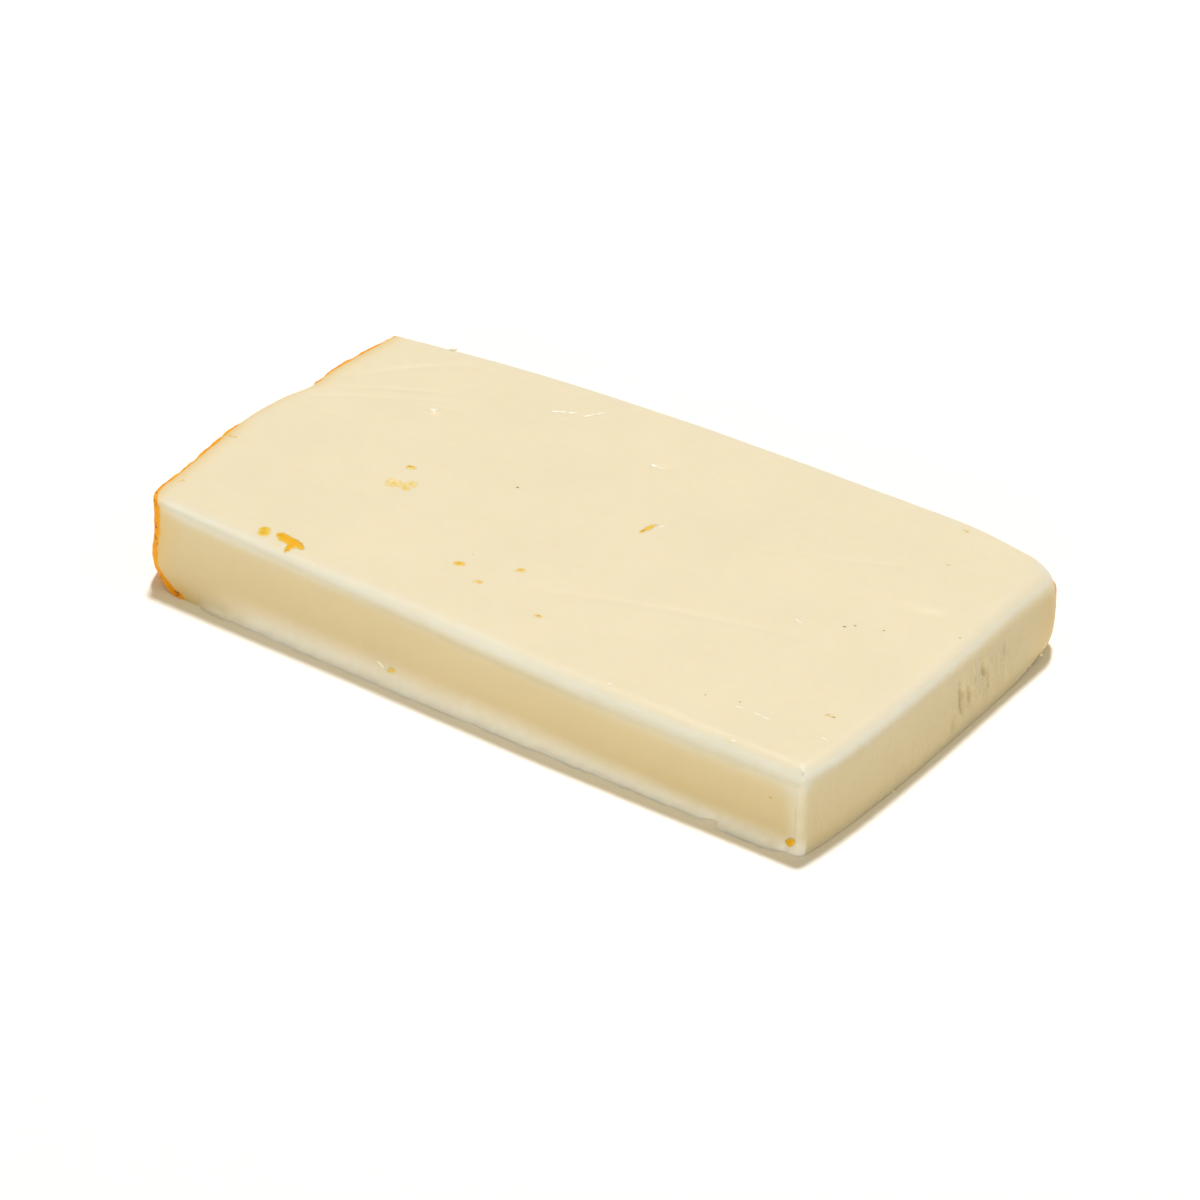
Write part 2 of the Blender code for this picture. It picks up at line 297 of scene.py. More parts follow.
# Shreds and burrs of paste that the knife raised; they are smoother than the paste round them, and
# their bright colour is a painted highlight for the glints on them.
SHRED_RAGGEDNESS = 0.6
PASTE_SHREDS = (
    laid(-28.0, 32.0, 0.1, *dashes((-3.8, -2.1), (0.6, 0.4), 3, 0.34)),
    laid(-24.2, 33.5, 0.1, *dashes((-1.4, -1.4), (1.5, 3.4), 2, 0.34)),
    laid(-27.2, 29.0, 0.06, *dashes((-1.7, -0.6), (0.6, 0.3), 1, 0.24)),
    laid(-50.1, 15.6, 0.12, (-0.3, 0.0, 0.55, 0.3, 0.3, 0.45)),
    laid(-2.0, 24.8, 0.08, *dashes((-1.8, -0.1), (1.7, 0.1), 2, 0.32)),
    laid(35.0, -40.2, 0.08, (-0.3, 0.0, 0.25, 0.3, 0.1, 0.2)),
    laid(61.4, -41.0, 0.08, (-0.3, 0.0, 0.25, 0.3, 0.1, 0.2)),
    laid(59.0, -32.5, 0.08, *dashes((0.8, 0.1), (4.6, -0.3), 2, 0.26)),
    laid(56.8, -32.7, 0.07, *dashes((-0.6, 0.0), (0.8, 0.2), 1, 0.24)),
    laid(73.6, -31.9, 0.06, *dashes((-0.8, 0.1), (1.4, -0.2), 1, 0.22)),
    laid(49.7, -4.4, 0.08, *dashes((-0.9, 0.2), (0.9, -0.2), 2, 0.28)),
    laid(11.4, 7.1, 0.08, (-0.2, -0.2, 0.25, 0.2, 0.3, 0.22)),
    laid(-13.2, 3.9, 0.12, (-0.6, 0.3, 0.35, 0.3, -0.2, 0.4), face="front"),
)

# Crumbs of paste along the foot and burrs along the edges.
CRUMBS = (
    Crumb((-50.9, -44.5, 0.60), (0.35, 0.25, 0.25), 0.9),
    Crumb((78.0, -3.0, 0.25), (0.32, 0.45, 0.28), 0.2),
    Crumb((78.5, -17.5, 0.20), (0.3, 0.35, 0.22), 1.2),
    Crumb((77.5, 4.4, 0.30), (0.35, 0.5, 0.34), 0.5),
    Crumb((77.1, 33.6, 1.60), (0.3, 0.4, 0.30), 0.7),
    Crumb((76.4, 31.0, 0.25), (0.3, 0.5, 0.25), 0.1),
    Crumb((-63.6, 38.2, 18.45), (0.8, 0.4, 0.28), 0.6),
    Crumb((-69.3, -42.2, 10.1), (0.4, 0.4, 0.35), 0.6),
)


# ---- Settings


def length_setting(name, description, default):
    """A length that a user may change."""
    return FloatProperty(
        name=name, description=description, default=default, unit="LENGTH", precision=5
    )


def share_setting(name, description, default):
    """A share from 0 to 1 that a user may change."""
    return FloatProperty(
        name=name, description=description, default=default, subtype="FACTOR", min=0.0, max=1.0
    )


def angle_setting(name, description, degrees):
    """An angle that a user may change."""
    return FloatProperty(
        name=name, description=description, default=math.radians(degrees), subtype="ANGLE"
    )


def colour_setting(name, description, default):
    """A colour that a user may change, with or without its alpha."""
    return FloatVectorProperty(
        name=name, description=description, default=default, size=len(default), subtype="COLOR"
    )


class BodySettings(bpy.types.PropertyGroup):
    cells: IntVectorProperty(
        name="Cells",
        description="How many cells the body has along, across and up",
        default=(310, 176, 36),
        min=8,
    )
    undulation: length_setting("Undulation", "How far the cut faces swell and sink", 0.10 * MM)
    rim_wobble: length_setting("Rim wobble", "How unevenly the rims run", 0.08 * MM)
    lip_raggedness: length_setting(
        "Lip raggedness", "How unevenly the lip at the foot of the front cut runs", 0.45 * MM
    )
    rind_wrinkle: length_setting("Rind wrinkle", "How deep the rind's wrinkles are", 0.22 * MM)


class PasteSettings(bpy.types.PropertyGroup):
    top_colour: colour_setting("Top", "Colour of the top", (0.787, 0.709, 0.507, 1.0))
    # Painted shade: the sides' colour is a darker, deeper copy of the top's, for the light the
    # sides lack.
    shaded_side_colour: colour_setting(
        "Sides", "Colour of the cut sides, below the top rim", (0.655, 0.552, 0.318, 1.0)
    )
    # Partly dried paste, partly painted light glowing through the rounded edges and bounced onto
    # the foot.
    pale_edge_and_glow_colour: colour_setting(
        "Edges", "Colour of the paste where it has dried along its edges", (0.765, 0.76, 0.67, 1.0)
    )
    # Partly the lip's whitish smear, partly painted light from the floor's bounce and the thin
    # lip's glow.
    lip_smear_and_glow_colour: colour_setting(
        "Lip", "Colour of the lip along the foot of the front cut", (0.91, 0.905, 0.86, 1.0)
    )
    # Painted highlight: the shreds are coloured brighter than the paste to stand for the glints on
    # them.
    shred_glint_colour: colour_setting("Shreds", "Colour of the thin shreds", (0.97, 0.93, 0.78, 1.0))
    crumb_colour: colour_setting("Crumbs", "Colour of the crumbs", (0.85, 0.80, 0.64, 1.0))
    roughness: share_setting("Roughness", "Roughness of the cut paste", 0.42)
    depth_of_glow: length_setting("Depth of glow", "How deep light scatters in it", 0.6 * MM)


class RindSettings(bpy.types.PropertyGroup):
    skin_colour: colour_setting("Skin", "Colour of the rind's skin", (0.82, 0.30, 0.004, 1.0))
    pale_skin_colour: colour_setting(
        "Pale skin", "Colour of the rind where its skin is thin", (0.84, 0.40, 0.02, 1.0)
    )
    dark_colour: colour_setting(
        "Specks", "Colour of the rind's dark specks and cracks", (0.42, 0.11, 0.006, 1.0)
    )
    under_colour: colour_setting(
        "Under the skin", "Colour of the paste just under the rind", (0.75, 0.51, 0.13, 1.0)
    )


class MarkSettings(bpy.types.PropertyGroup):
    fleck_cell: length_setting("Fleck cell", "Size of a cell in the flecks of rind", 0.13 * MM)
    fine_cell: length_setting("Fine cell", "Size of a cell in the specks and shreds", 0.07 * MM)
    raggedness: length_setting("Raggedness", "How far the outline of a fleck strays", 0.16 * MM)
    crumb_roughness: share_setting(
        "Crumb lumps", "How lumpy a crumb is, as a share of its size", 0.28
    )
    edge_colour: colour_setting(
        "Fleck edge", "Colour of a fleck at its very edge", (0.80, 0.66, 0.32, 1.0)
    )
    rim_colour: colour_setting(
        "Fleck rim", "Colour of a fleck along its thin rim", (0.77, 0.50, 0.045, 1.0)
    )
    core_colour: colour_setting(
        "Fleck core", "Colour of a fleck where it is thick", (0.80, 0.41, 0.004, 1.0)
    )
    scorch_colour: colour_setting(
        "Fleck spots", "Colour of the dark spots in a fleck's core", (0.52, 0.20, 0.01, 1.0)
    )
    speck_colour: colour_setting("Speck", "Colour of the dark specks", (0.13, 0.055, 0.012, 1.0))
    speck_rim_colour: colour_setting(
        "Speck rim", "Colour of a dark speck along its rim", (0.50, 0.24, 0.05, 1.0)
    )


class StageSettings(bpy.types.PropertyGroup):
    azimuth: angle_setting(
        "Azimuth", "How far the camera stands round towards +X from straight in front", 37.22
    )
    elevation: angle_setting("Elevation", "How steeply the camera looks down", 31.0)
    distance: length_setting("Distance", "From the camera to the point it looks at", 0.6219)
    aim: FloatVectorProperty(
        name="Aim",
        description="The point on the floor that the camera looks at",
        default=(0.40 * MM, 2.69 * MM, 0.0),
        subtype="TRANSLATION",
        precision=5,
    )
    lens: FloatProperty(
        name="Lens",
        description="Focal length of the camera, in millimetres",
        default=100.0,
        unit="CAMERA",
    )
    sky: share_setting("Sky", "Brightness of the even light all round", 0.37)
    sky_colour: colour_setting(
        "Sky colour", "Colour of the even light all round, a little warm", (1.0, 0.86, 0.60, 1.0)
    )
    key_colour: colour_setting("Key colour", "Colour of the light from above", (1.0, 1.02, 1.10))
    key_power: FloatProperty(
        name="Key power", description="Power of the light from above, in watts", default=124.0
    )
    fill_colour: colour_setting(
        "Fill colour", "Colour of the soft light from the front", (1.0, 0.93, 0.74)
    )
    fill_power: FloatProperty(
        name="Fill power", description="Power of the light from the front, in watts", default=16.0
    )
    floor_colour: colour_setting("Floor", "Colour of the pale floor", (1.0, 0.98, 0.93, 1.0))


# ---- Plain numbers


def share_of(value, whole):
    """value as a share of whole, held between 0 and 1."""
    return min(max(value / whole, 0.0), 1.0)


def ramp(value, start, full):
    """An ease with level ends, from 0 at start to 1 at full."""
    share = share_of(value - start, full - start)
    return share * share * (3.0 - 2.0 * share)


def mix(first, second, share):
    """The way from one value to another, by a share."""
    return first + (second - first) * share


def grown(sizes, place, span):
    """A size that grows from the first of sizes to the second over a span."""
    return mix(*sizes, ramp(place, *span))


def staged(sizes, place, spans):
    """A size that goes from the first of three to the second over a span, then to the third."""
    return mix(sizes[0], grown(sizes[1:], place, spans[1]), ramp(place, *spans[0]))


def hump(place, middle, spread):
    """A bell of height 1."""
    return math.exp(-(((place - middle) / spread) ** 2))


def crowd(share, crowding):
    """Moves evenly spaced cuts towards both ends."""
    return share - crowding * math.sin(2.0 * math.pi * share) / (2.0 * math.pi)


# ---- The body's shape, step by step


def block(cells):
    """A closed block of quads from the origin, with its cells crowded towards its rims."""
    bm = bmesh.new()
    bmesh.ops.create_cube(bm, size=1.0, matrix=Matrix.Translation((0.5, 0.5, 0.5)))
    for axis, count in enumerate(cells):
        along = [e for e in bm.edges if abs(e.verts[0].co[axis] - e.verts[1].co[axis]) > 0.5]
        bmesh.ops.subdivide_edges(bm, edges=along, cuts=count - 1, use_grid_fill=True)
    for vert in bm.verts:
        for axis, size in enumerate((LENGTH, WIDTH, THICKNESS)):
            vert.co[axis] = size * crowd(vert.co[axis], CROWDING[axis])
    return bm


def corner_radius(x, y):
    """The radius of the upright corner nearest to a place in the plan."""
    if x < LENGTH / 2.0:
        return CORNER_RIND_FRONT if y < WIDTH / 2.0 else CORNER_RIND_BACK
    return CORNER_CUT_FRONT if y < WIDTH / 2.0 else CORNER_CUT_BACK


def round_corner(x, y):
    """Bends the square corners of the plan to arcs, shell by shell.

    Returns the new place and the outward direction there."""
    radius = corner_radius(x, y)
    inner = Vector((min(max(x, radius), LENGTH - radius), min(max(y, radius), WIDTH - radius)))
    offset = Vector((x, y)) - inner
    if abs(offset.x) > 0.0 and abs(offset.y) > 0.0:
        shell = max(abs(offset.x), abs(offset.y))
        outward = offset.normalized()
        return inner + outward * shell, outward
    sides = (
        (x, Vector((-1.0, 0.0))),
        (LENGTH - x, Vector((1.0, 0.0))),
        (y, Vector((0.0, -1.0))),
        (WIDTH - y, Vector((0.0, 1.0))),
    )
    return Vector((x, y)), min(sides, key=lambda side: side[0])[1]


def side_shares(x, y):
    """How much each side counts at a place, in the order rind end, cut end, front, back."""
    nearness = [1.0 / (gap + RIM_BLEND) ** 2 for gap in (x, LENGTH - x, y, WIDTH - y)]
    total = sum(nearness)
    return [value / total for value in nearness]


def rind_corner(x, y):
    """1 at the corner that carries rind, fading to 0 around it."""
    along = ramp(x / LENGTH, RIND_CORNER_ALONG, 1.0)
    return along * ramp(y / WIDTH, RIND_CORNER_ACROSS, 1.0)


def top_rim(x, y):
    """The radius of the rounding between the top and the sides."""
    radii = (
        TOP_RIM_RIND,
        grown(TOP_RIM_CUT, y / WIDTH, TOP_RIM_CUT_GROWS),
        grown(TOP_RIM_FRONT, x / LENGTH, TOP_RIM_FRONT_GROWS),
        grown(TOP_RIM_BACK, x / LENGTH, TOP_RIM_BACK_GROWS),
    )
    return sum(share * radius for share, radius in zip(side_shares(x, y), radii))


def round_rim(gap, depth, radius):
    """Carries a point of a square rim onto an arc.

    gap is its distance in from the side and depth its distance from the top or underside.
    Returns the new gap and depth."""
    if gap >= radius or depth >= radius:
        return gap, depth
    outward = radius - gap
    upward = radius - depth
    length = math.hypot(outward, upward)
    return radius - radius * outward / length, radius - radius * upward / length


def foot_shares(x, y, z):
    """The foot's reach, and how far out and down in its curl a place lies, as shares."""
    reach = grown(FOOT_REACH, y / WIDTH, FOOT_GROWS)
    height = grown(FOOT_HEIGHT, y / WIDTH, FOOT_GROWS)
    return reach, height, (reach - x) / reach, (height - z) / height


def curl_foot(x, y, z):
    """Bends the foot of the rind end under, layer by layer, on an elliptic arc."""
    reach, height, outward, downward = foot_shares(x, y, z)
    if outward <= 0.0 or downward <= 0.0:
        return x, z
    tightening = max(outward, downward) / math.hypot(outward, downward)
    return reach * (1.0 - outward * tightening), height * (1.0 - downward * tightening)


def rise(x, y):
    """How much thicker than the block the slab is at a place."""
    along = share_of(x, LENGTH)
    across = share_of(y, WIDTH)
    front = mix(FRONT_RISE_AT_CUT, FRONT_RISE_AT_RIND, (1.0 - along) ** FRONT_RISE_CURVE)
    back = mix(BACK_RISE_AT_RIND, BACK_RISE_AT_CUT, along)
    crest = TOP_SWELL * math.sin(math.pi * along) * math.sin(math.pi * across)
    return mix(front, back, across) + crest - RIND_CORNER_SLUMP * rind_corner(x, y)


def rind_end_reach(y, level):
    """How far the rind end stands out of the block."""
    across = share_of(y, WIDTH)
    reach = RIND_SWING * ramp(across, 0.0, RIND_SWING_FULL)
    reach -= RIND_DENT * hump(across, RIND_DENT_PLACE, RIND_DENT_SPREAD)
    reach += RIND_LEAN * ramp(level, 1.0, 0.0)
    reach += RIND_BELLY * hump(level, *RIND_BELLY_LEVEL) * ramp(across, RIND_BELLY_ENDS, 0.0)
    return reach - RIND_SHOULDER_DEPTH * (1.0 - share_of(y, RIND_SHOULDER_RUN)) ** 2


def cut_end_reach(across, belly):
    """How far the cut end stands out of the block."""
    return CUT_END_BOW * math.sin(math.pi * across**CUT_END_BOW_SKEW) + belly * across**4


def front_reach(along, z):
    """How far the front cut stands out of the block, with the lip along its foot."""
    tongue = ramp(along, *TONGUE_START) * (1.0 - ramp(along, *TONGUE_END))
    notch = ramp(along, *NOTCH_START) * (1.0 - ramp(along, *TONGUE_START))
    flare = LIP_FLARE * (1.0 - notch) + TONGUE_REACH * tongue
    smear = flare * math.exp(-z / LIP_FLARE_HEIGHT)
    smear -= (LIP_FLARE - LIP_REACH) * math.exp(-z / LIP_HOLLOW_HEIGHT)
    smear *= 1.0 - LIP_THINS * ramp(along, LIP_THINS_FROM, 1.0)
    bow_at_top = grown(FRONT_BOW_AT_TOP, along, FRONT_BOW_AT_TOP_GROWS)
    lean = mix(1.0, bow_at_top, share_of(z, THICKNESS))
    return FRONT_BOW * lean * math.sin(math.pi * along**FRONT_BOW_SKEW) + smear


def back_reach(along, belly):
    """How far the back cut stands out of the block."""
    if along < BACK_CREST_PLACE:
        fall = BACK_FALL_TO_RIND * (1.0 - along / BACK_CREST_PLACE) ** BACK_FALL_CURVE
    else:
        fall = BACK_FALL_TO_CUT * share_of(along - BACK_CREST_PLACE, 1.0 - BACK_CREST_PLACE) ** 2
    return BACK_CREST - fall + belly * along**8


def bow_sides(x, y, z):
    """Moves a place outwards as the sides run."""
    along = share_of(x, LENGTH)
    across = share_of(y, WIDTH)
    level = share_of(z, THICKNESS)
    belly = RIND_CORNER_BELLY * math.sin(math.pi * level)
    bowed_x = x - (1.0 - along) * rind_end_reach(y, level) + along * cut_end_reach(across, belly)
    bowed_y = y - (1.0 - across) * front_reach(along, z) + across * back_reach(along, belly)
    return bowed_x, bowed_y


def shape(place):
    """Where a point of the block's surface lies on the finished slab."""
    x, y, z = place
    gap = min(x, LENGTH - x, y, WIDTH - y)
    plan, outward = round_corner(x, y)
    if z > THICKNESS / 2.0:
        new_gap, depth = round_rim(gap, THICKNESS - z, top_rim(x, y))
        level = THICKNESS - depth
    else:
        new_gap, level = round_rim(gap, z, mix(*BOTTOM_RIM, rind_corner(x, y)))
    plan -= outward * (new_gap - gap)
    thickening = 1.0 + rise(plan.x, plan.y) / THICKNESS
    curled, level = curl_foot(x, y, level)
    plan.x += curled - x
    return Vector((*bow_sides(plan.x, plan.y, level), level * thickening))


# ---- Where the paste is pale (partly painted light), warm (painted shade) or rind, told by places on the block

# Pale bands over the top's edges, partly dried paste and partly painted light glowing through the
# rounded edges. They are told by the way over the edge in millimetres, which is below zero on the
# top. The front's is told near the rind, half way along and near the cut end.
FRONT_BAND_PARTS = ((0.22, 0.5), (0.5, 0.85))
FRONT_BAND_MIDDLE = (0.3, -0.6, 0.3)
FRONT_BAND_SPREAD = (2.1, 3.0, 3.6)
CUT_BAND_MIDDLE = (0.4, 0.0)
CUT_BAND_SPREAD = 2.2
CUT_BAND_SPREAD_ON_TOP = (2.6, 4.4)
CUT_BAND_STRENGTH = (0.85, 0.6)
BACK_BAND = (0.6, 1.8)
BACK_BAND_STRENGTH = 0.8
CORNER_BAND_MIDDLE = -0.8
CORNER_BAND_SPREAD = (1.8, 3.0)
CORNER_BAND_STRENGTH = 0.5
BAND_SPREAD_ON_TOP = 2.6
BAND_STRENGTH_ON_TOP = 0.7
BAND_STRENGTHENS = (-1.5, 1.0)

# The pale foot of the sides and the paler lip at the front, in millimetres up and along. The pale
# foot is painted light, bounced off the floor and glowing through the thin foot; the lip is partly
# a whitish smear and partly the same painted light.
FOOT_BAND_LEVEL = (2.5, 0.5)
FOOT_BAND_ALONG = (9.0, 16.0)
FOOT_BAND_STRENGTH = 0.4
LIP_BAND_HEIGHT = (6.8, 4.6)
LIP_BAND_SHRINKS = (0.55, 0.9)
LIP_BAND_ALONG = (4.0, 32.0)
LIP_BAND_FADE = 1.15

# The sides' deeper colour is painted shade: the cut sides are darker and more saturated than the
# top for the light that they lack. How it comes in over an edge and down a side, in millimetres,
# and where along the front it is deepest.
WARM_OVER_EDGE = (-3.2, 3.2)
WARM_OVER_EDGE_SHARE = 0.75
WARM_DOWN = (3.0, 12.0)
WARM_ALONG = (0.4, 0.75)
WARM_ELSEWHERE = 0.86

# The torn patch of the cut end: its middle and spread across and up.
TORN_ACROSS = (0.62, 0.12)
TORN_UP = (0.45, 0.38)
TORN_ELSEWHERE = 0.3

# The rind: a stretch of its top edge is cut clean, and it is thicker at its foot.
CLEAN_STARTS = (0.38, 0.44)
CLEAN_ENDS = (0.68, 0.63)
CLEAN_DEPTH = 3.0
RIND_TOP = (THICKNESS - 1.5 * MM, THICKNESS - 0.3 * MM)
RIND_FOOT_THICKENING = 0.9 * MM
RIND_UNDERSIDE_SLOPE = 1.1

# The skin of the corner that carries rind, which ends below the top and thins at the foot.
CORNER_SKIN_SLOPE = 0.45
CORNER_SKIN_REACH = 0.4
CORNER_SKIN_TOP = (THICKNESS - 4.0 * MM, THICKNESS - 1.5 * MM)
CORNER_SKIN_FOOT = (3.5 * MM, 1.0 * MM)
CORNER_SKIN_FADE = (6.0, 3.0)


def edge_run(first_gap, second_gap):
    """The way over an edge to a place: below zero on the first face, above on the second.

    The gaps are the place's distances from the second face and from the first."""
    return math.copysign(first_gap + second_gap, first_gap - second_gap)


def edge_runs(x, y, z):
    """The ways over the top's front, cut, back and rind edges, in millimetres."""
    down = THICKNESS - z
    return [edge_run(down, gap) / MM for gap in (y, LENGTH - x, WIDTH - y, x)]


def edge_band(run, middle, spread, top_spread=BAND_SPREAD_ON_TOP):
    """A pale band along a top edge: strong on the side, weaker and broader on the top."""
    reach = spread if run > middle else top_spread
    return mix(BAND_STRENGTH_ON_TOP, 1.0, ramp(run, *BAND_STRENGTHENS)) * hump(run, middle, reach)


def pale(x, y, z):
    """How dry and pale the paste looks, from 0 to 1, strongest along its edges and corner. The edge
    bands are partly dried paste and partly painted glow, and the pale foot is painted bounce light.
    """
    across = y / WIDTH
    over_front, over_cut, over_back, _ = edge_runs(x, y, z)
    over_corner = edge_run(y, LENGTH - x) / MM
    middle = staged(FRONT_BAND_MIDDLE, x / LENGTH, FRONT_BAND_PARTS)
    spread = staged(FRONT_BAND_SPREAD, x / LENGTH, FRONT_BAND_PARTS)
    cut_middle = mix(*CUT_BAND_MIDDLE, across)
    cut_top_spread = mix(*CUT_BAND_SPREAD_ON_TOP, across)
    cut_band = edge_band(over_cut, cut_middle, CUT_BAND_SPREAD, cut_top_spread)
    corner_band = hump(over_corner, CORNER_BAND_MIDDLE, mix(*CORNER_BAND_SPREAD, z / THICKNESS))
    # The foot's paleness is painted light bounced off the floor.
    painted_foot_light = ramp(z / MM, *FOOT_BAND_LEVEL) * ramp(x / MM, *FOOT_BAND_ALONG)
    bands = (
        edge_band(over_front, middle, spread),
        mix(*CUT_BAND_STRENGTH, across) * cut_band,
        BACK_BAND_STRENGTH * edge_band(over_back, *BACK_BAND),
        CORNER_BAND_STRENGTH * corner_band,
        FOOT_BAND_STRENGTH * painted_foot_light,
    )
    return 1.0 - math.prod(1.0 - band for band in bands)


def lip(x, y, z):
    """1 on the lip along the foot of the front cut, fading upwards and towards the rind. The lip's
    paleness is partly a whitish smear and partly painted light glowing through it and bounced off
    the floor.
    """
    if y > MM:
        return 0.0
    height = grown(LIP_BAND_HEIGHT, x / LENGTH, LIP_BAND_SHRINKS)
    return (1.0 - share_of(z / MM, height)) ** LIP_BAND_FADE * ramp(x / MM, *LIP_BAND_ALONG)


def warm(x, y, z):
    """How deep the colour of a cut side is, from 0 on the top to 1 low on the side: painted shade.
    """
    run = max(edge_runs(x, y, z))
    down = ramp((THICKNESS - z) / MM, *WARM_DOWN) * ramp(run, 0.0, 1.0)
    depth = mix(down, ramp(run, *WARM_OVER_EDGE), WARM_OVER_EDGE_SHARE)
    front_right = ramp(x / LENGTH, *WARM_ALONG) * ramp(LENGTH - x - y, 0.0, 2.0 * MM)
    return depth * mix(WARM_ELSEWHERE, 1.0, front_right)


def torn(x, y, z):
    """How torn the cut end is, from 0 to 1."""
    if LENGTH - x > MM:
        return 0.0
    return mix(TORN_ELSEWHERE, 1.0, hump(y / WIDTH, *TORN_ACROSS)) * hump(z / THICKNESS, *TORN_UP)


def rind_depth(x, y, z):
    """How far under the skin of the rind a place lies, in millimetres; below zero is skin."""
    depth = x
    reach, _, outward, downward = foot_shares(x, y, z)
    if downward > 0.0 and outward > 0.0:
        thickening = RIND_FOOT_THICKENING * downward * ramp(outward, 0.0, 0.6)
        depth = reach * (1.0 - max(outward, downward)) - thickening
    elif downward > 0.0:
        depth = min(x, reach * (1.0 - downward) + RIND_UNDERSIDE_SLOPE * (x - reach))
    clean = ramp(y / WIDTH, *CLEAN_STARTS) * ramp(y / WIDTH, *CLEAN_ENDS)
    near_top = ramp(z, *RIND_TOP)
    end_depth = depth / MM * mix(1.0, 2.0, near_top) + clean * CLEAN_DEPTH * near_top
    corner_depth = CORNER_SKIN_SLOPE * (LENGTH - x + WIDTH - y) / MM - CORNER_SKIN_REACH
    corner_depth += CORNER_SKIN_FADE[0] * ramp(z, *CORNER_SKIN_TOP)
    corner_depth += CORNER_SKIN_FADE[1] * ramp(z, *CORNER_SKIN_FOOT)
    return min(end_depth, corner_depth)


# pale, warm and lip carry painted light and shade into the paste's colour.
MASKS = {"pale": pale, "warm": warm, "lip": lip, "torn": torn, "rind_depth": rind_depth}


# ---- Relief, told by places on the slab in millimetres

# A knife line's ledge, how many of its widths it reaches, and how its ends fade.
LEDGE_SLOPE = 0.5
LEDGE_REACH = 4.0
LEDGE_FADE = 0.6
KNIFE_LINE_STRENGTH = 2.3

# A dent's reach as a share of its size, and how uneven its outline is.
DENT_REACH = 2.5
DENT_UNEVENNESS = 0.35
TEAR_STRENGTH = 1.9

# The scratches of the knife: its way over the top, and how far they are drawn out along it.
KNIFE_WAY = (0.94, 0.35)
SCRATCH_STRETCH = 0.06
SCRATCH_HEIGHT = 0.012
BAND_STRETCH = 0.06
BAND_HEIGHT = 0.03
CUT_END_DRAG_FROM = (-41.5, -35.0)

# The rind's folds and puckers.
FOLD_SIZE = 3.4
FOLD_HEIGHT = 1.2
FOLD_LEVEL = 0.85
PUCKER_SIZE = 1.1
PUCKER_HEIGHT = 0.25

# How squarely the surface faces a way before it counts as that face, and how far it tips from
# upright before it counts as a rim.
FACING = (0.6, 0.95)
LEANING = (0.1, 0.4)
SKIN_DEPTHS = (0.8, -0.1)
LIP_TOP = 5.0
LIP_SPREAD = 1.9
LIP_COMES_IN = (6.0 * MM, 14.0 * MM)


def ledge(x, y, groove):
    """A line that the knife dragged: a shallow ledge with a groove along it."""
    start = Vector(groove.start)
    run = Vector(groove.end) - start
    share = (Vector((x, y)) - start).dot(run) / run.length_squared
    if share <= 0.0 or share >= 1.0:
        return 0.0
    off = (Vector((x, y)) - start).cross(run.normalized()) + groove.sag * math.sin(math.pi * share)
    if abs(off) > LEDGE_REACH * groove.width:
        return 0.0
    fade = math.sin(math.pi * share) ** LEDGE_FADE
    profile = (LEDGE_SLOPE * off / groove.width - 1.0) * hump(off, 0.0, groove.width)
    return groove.depth * fade * profile


def hollow(u, v, dent):
    """A dent or a swelling, with an uneven outline."""
    du = u - dent.place[0]
    dv = v - dent.place[1]
    cos = math.cos(dent.turn)
    sin = math.sin(dent.turn)
    away = math.hypot((du * cos + dv * sin) / dent.size[0], (dv * cos - du * sin) / dent.size[1])
    if away > DENT_REACH:
        return 0.0
    stray = noise.noise(Vector((u, v, 3.7)) / (0.5 * sum(dent.size)))
    away *= 1.0 + DENT_UNEVENNESS * stray
    return -dent.depth * math.exp(-(away**4))


def swell(place, size, seed):
    """Soft noise from -1 to 1 with features of a size, in millimetres."""
    return noise.noise(place / size + Vector((seed, 2.0 * seed, -seed)))


def top_relief(place):
    """The knife's lines and scratches over the top, and its dents."""
    x, y = place.x, place.y
    along, across = KNIFE_WAY
    height = KNIFE_LINE_STRENGTH * sum(ledge(x, y, groove) for groove in KNIFE_LINES)
    height += sum(hollow(x, y, dent) for dent in TOP_DENTS)
    stretched = SCRATCH_STRETCH * (along * x + across * y)
    scratches = Vector((across * x - along * y, stretched, 0.0))
    return height + SCRATCH_HEIGHT * swell(scratches, size=1.6, seed=8.0)


def cut_end_relief(place):
    """The cut end's tears, with finer ones all over it but for the near corner."""
    y, z = place.y, place.z
    height = TEAR_STRENGTH * sum(hollow(y, z, tear) for tear in CUT_END_TEARS)
    drag = 0.12 * swell(Vector((y - 0.12 * z, 0.16 * z, 0.0)), size=1.1, seed=4.0)
    drag += 0.05 * swell(Vector((y - 0.2 * z, 0.3 * z, 0.0)), size=0.6, seed=9.0)
    return height + drag * ramp(y, *CUT_END_DRAG_FROM)


def side_relief(place):
    """The faint bands that the knife leaves along a long cut."""
    stretched = Vector((BAND_STRETCH * place.x, 0.0, place.z))
    return BAND_HEIGHT * swell(stretched, size=1.7, seed=6.0)


def rind_relief(place):
    """The leathery skin of the rind."""
    fold = noise.turbulence(place / FOLD_SIZE, 3, False)
    pucker = noise.fractal(place / PUCKER_SIZE, 0.8, 2.1, 3)
    return FOLD_HEIGHT * (FOLD_LEVEL - fold) + PUCKER_HEIGHT * pucker


def lip_relief(place):
    """The lip's ragged run, with steps where flakes have broken off."""
    run = Vector((place.x, 0.0, 0.35 * place.z))
    wave = swell(run, size=5.5, seed=1.0) + 0.5 * swell(run, size=2.1, seed=2.0)
    sudden = swell(run, size=1.3, seed=5.0)
    step = 0.5 * math.copysign(abs(sudden) ** 0.5, sudden)
    lump = 1.9 * hump(place.x, -53.0, 3.0) - 0.5 * hump(place.x, -58.2, 1.0)
    return wave + 0.6 * step + lump


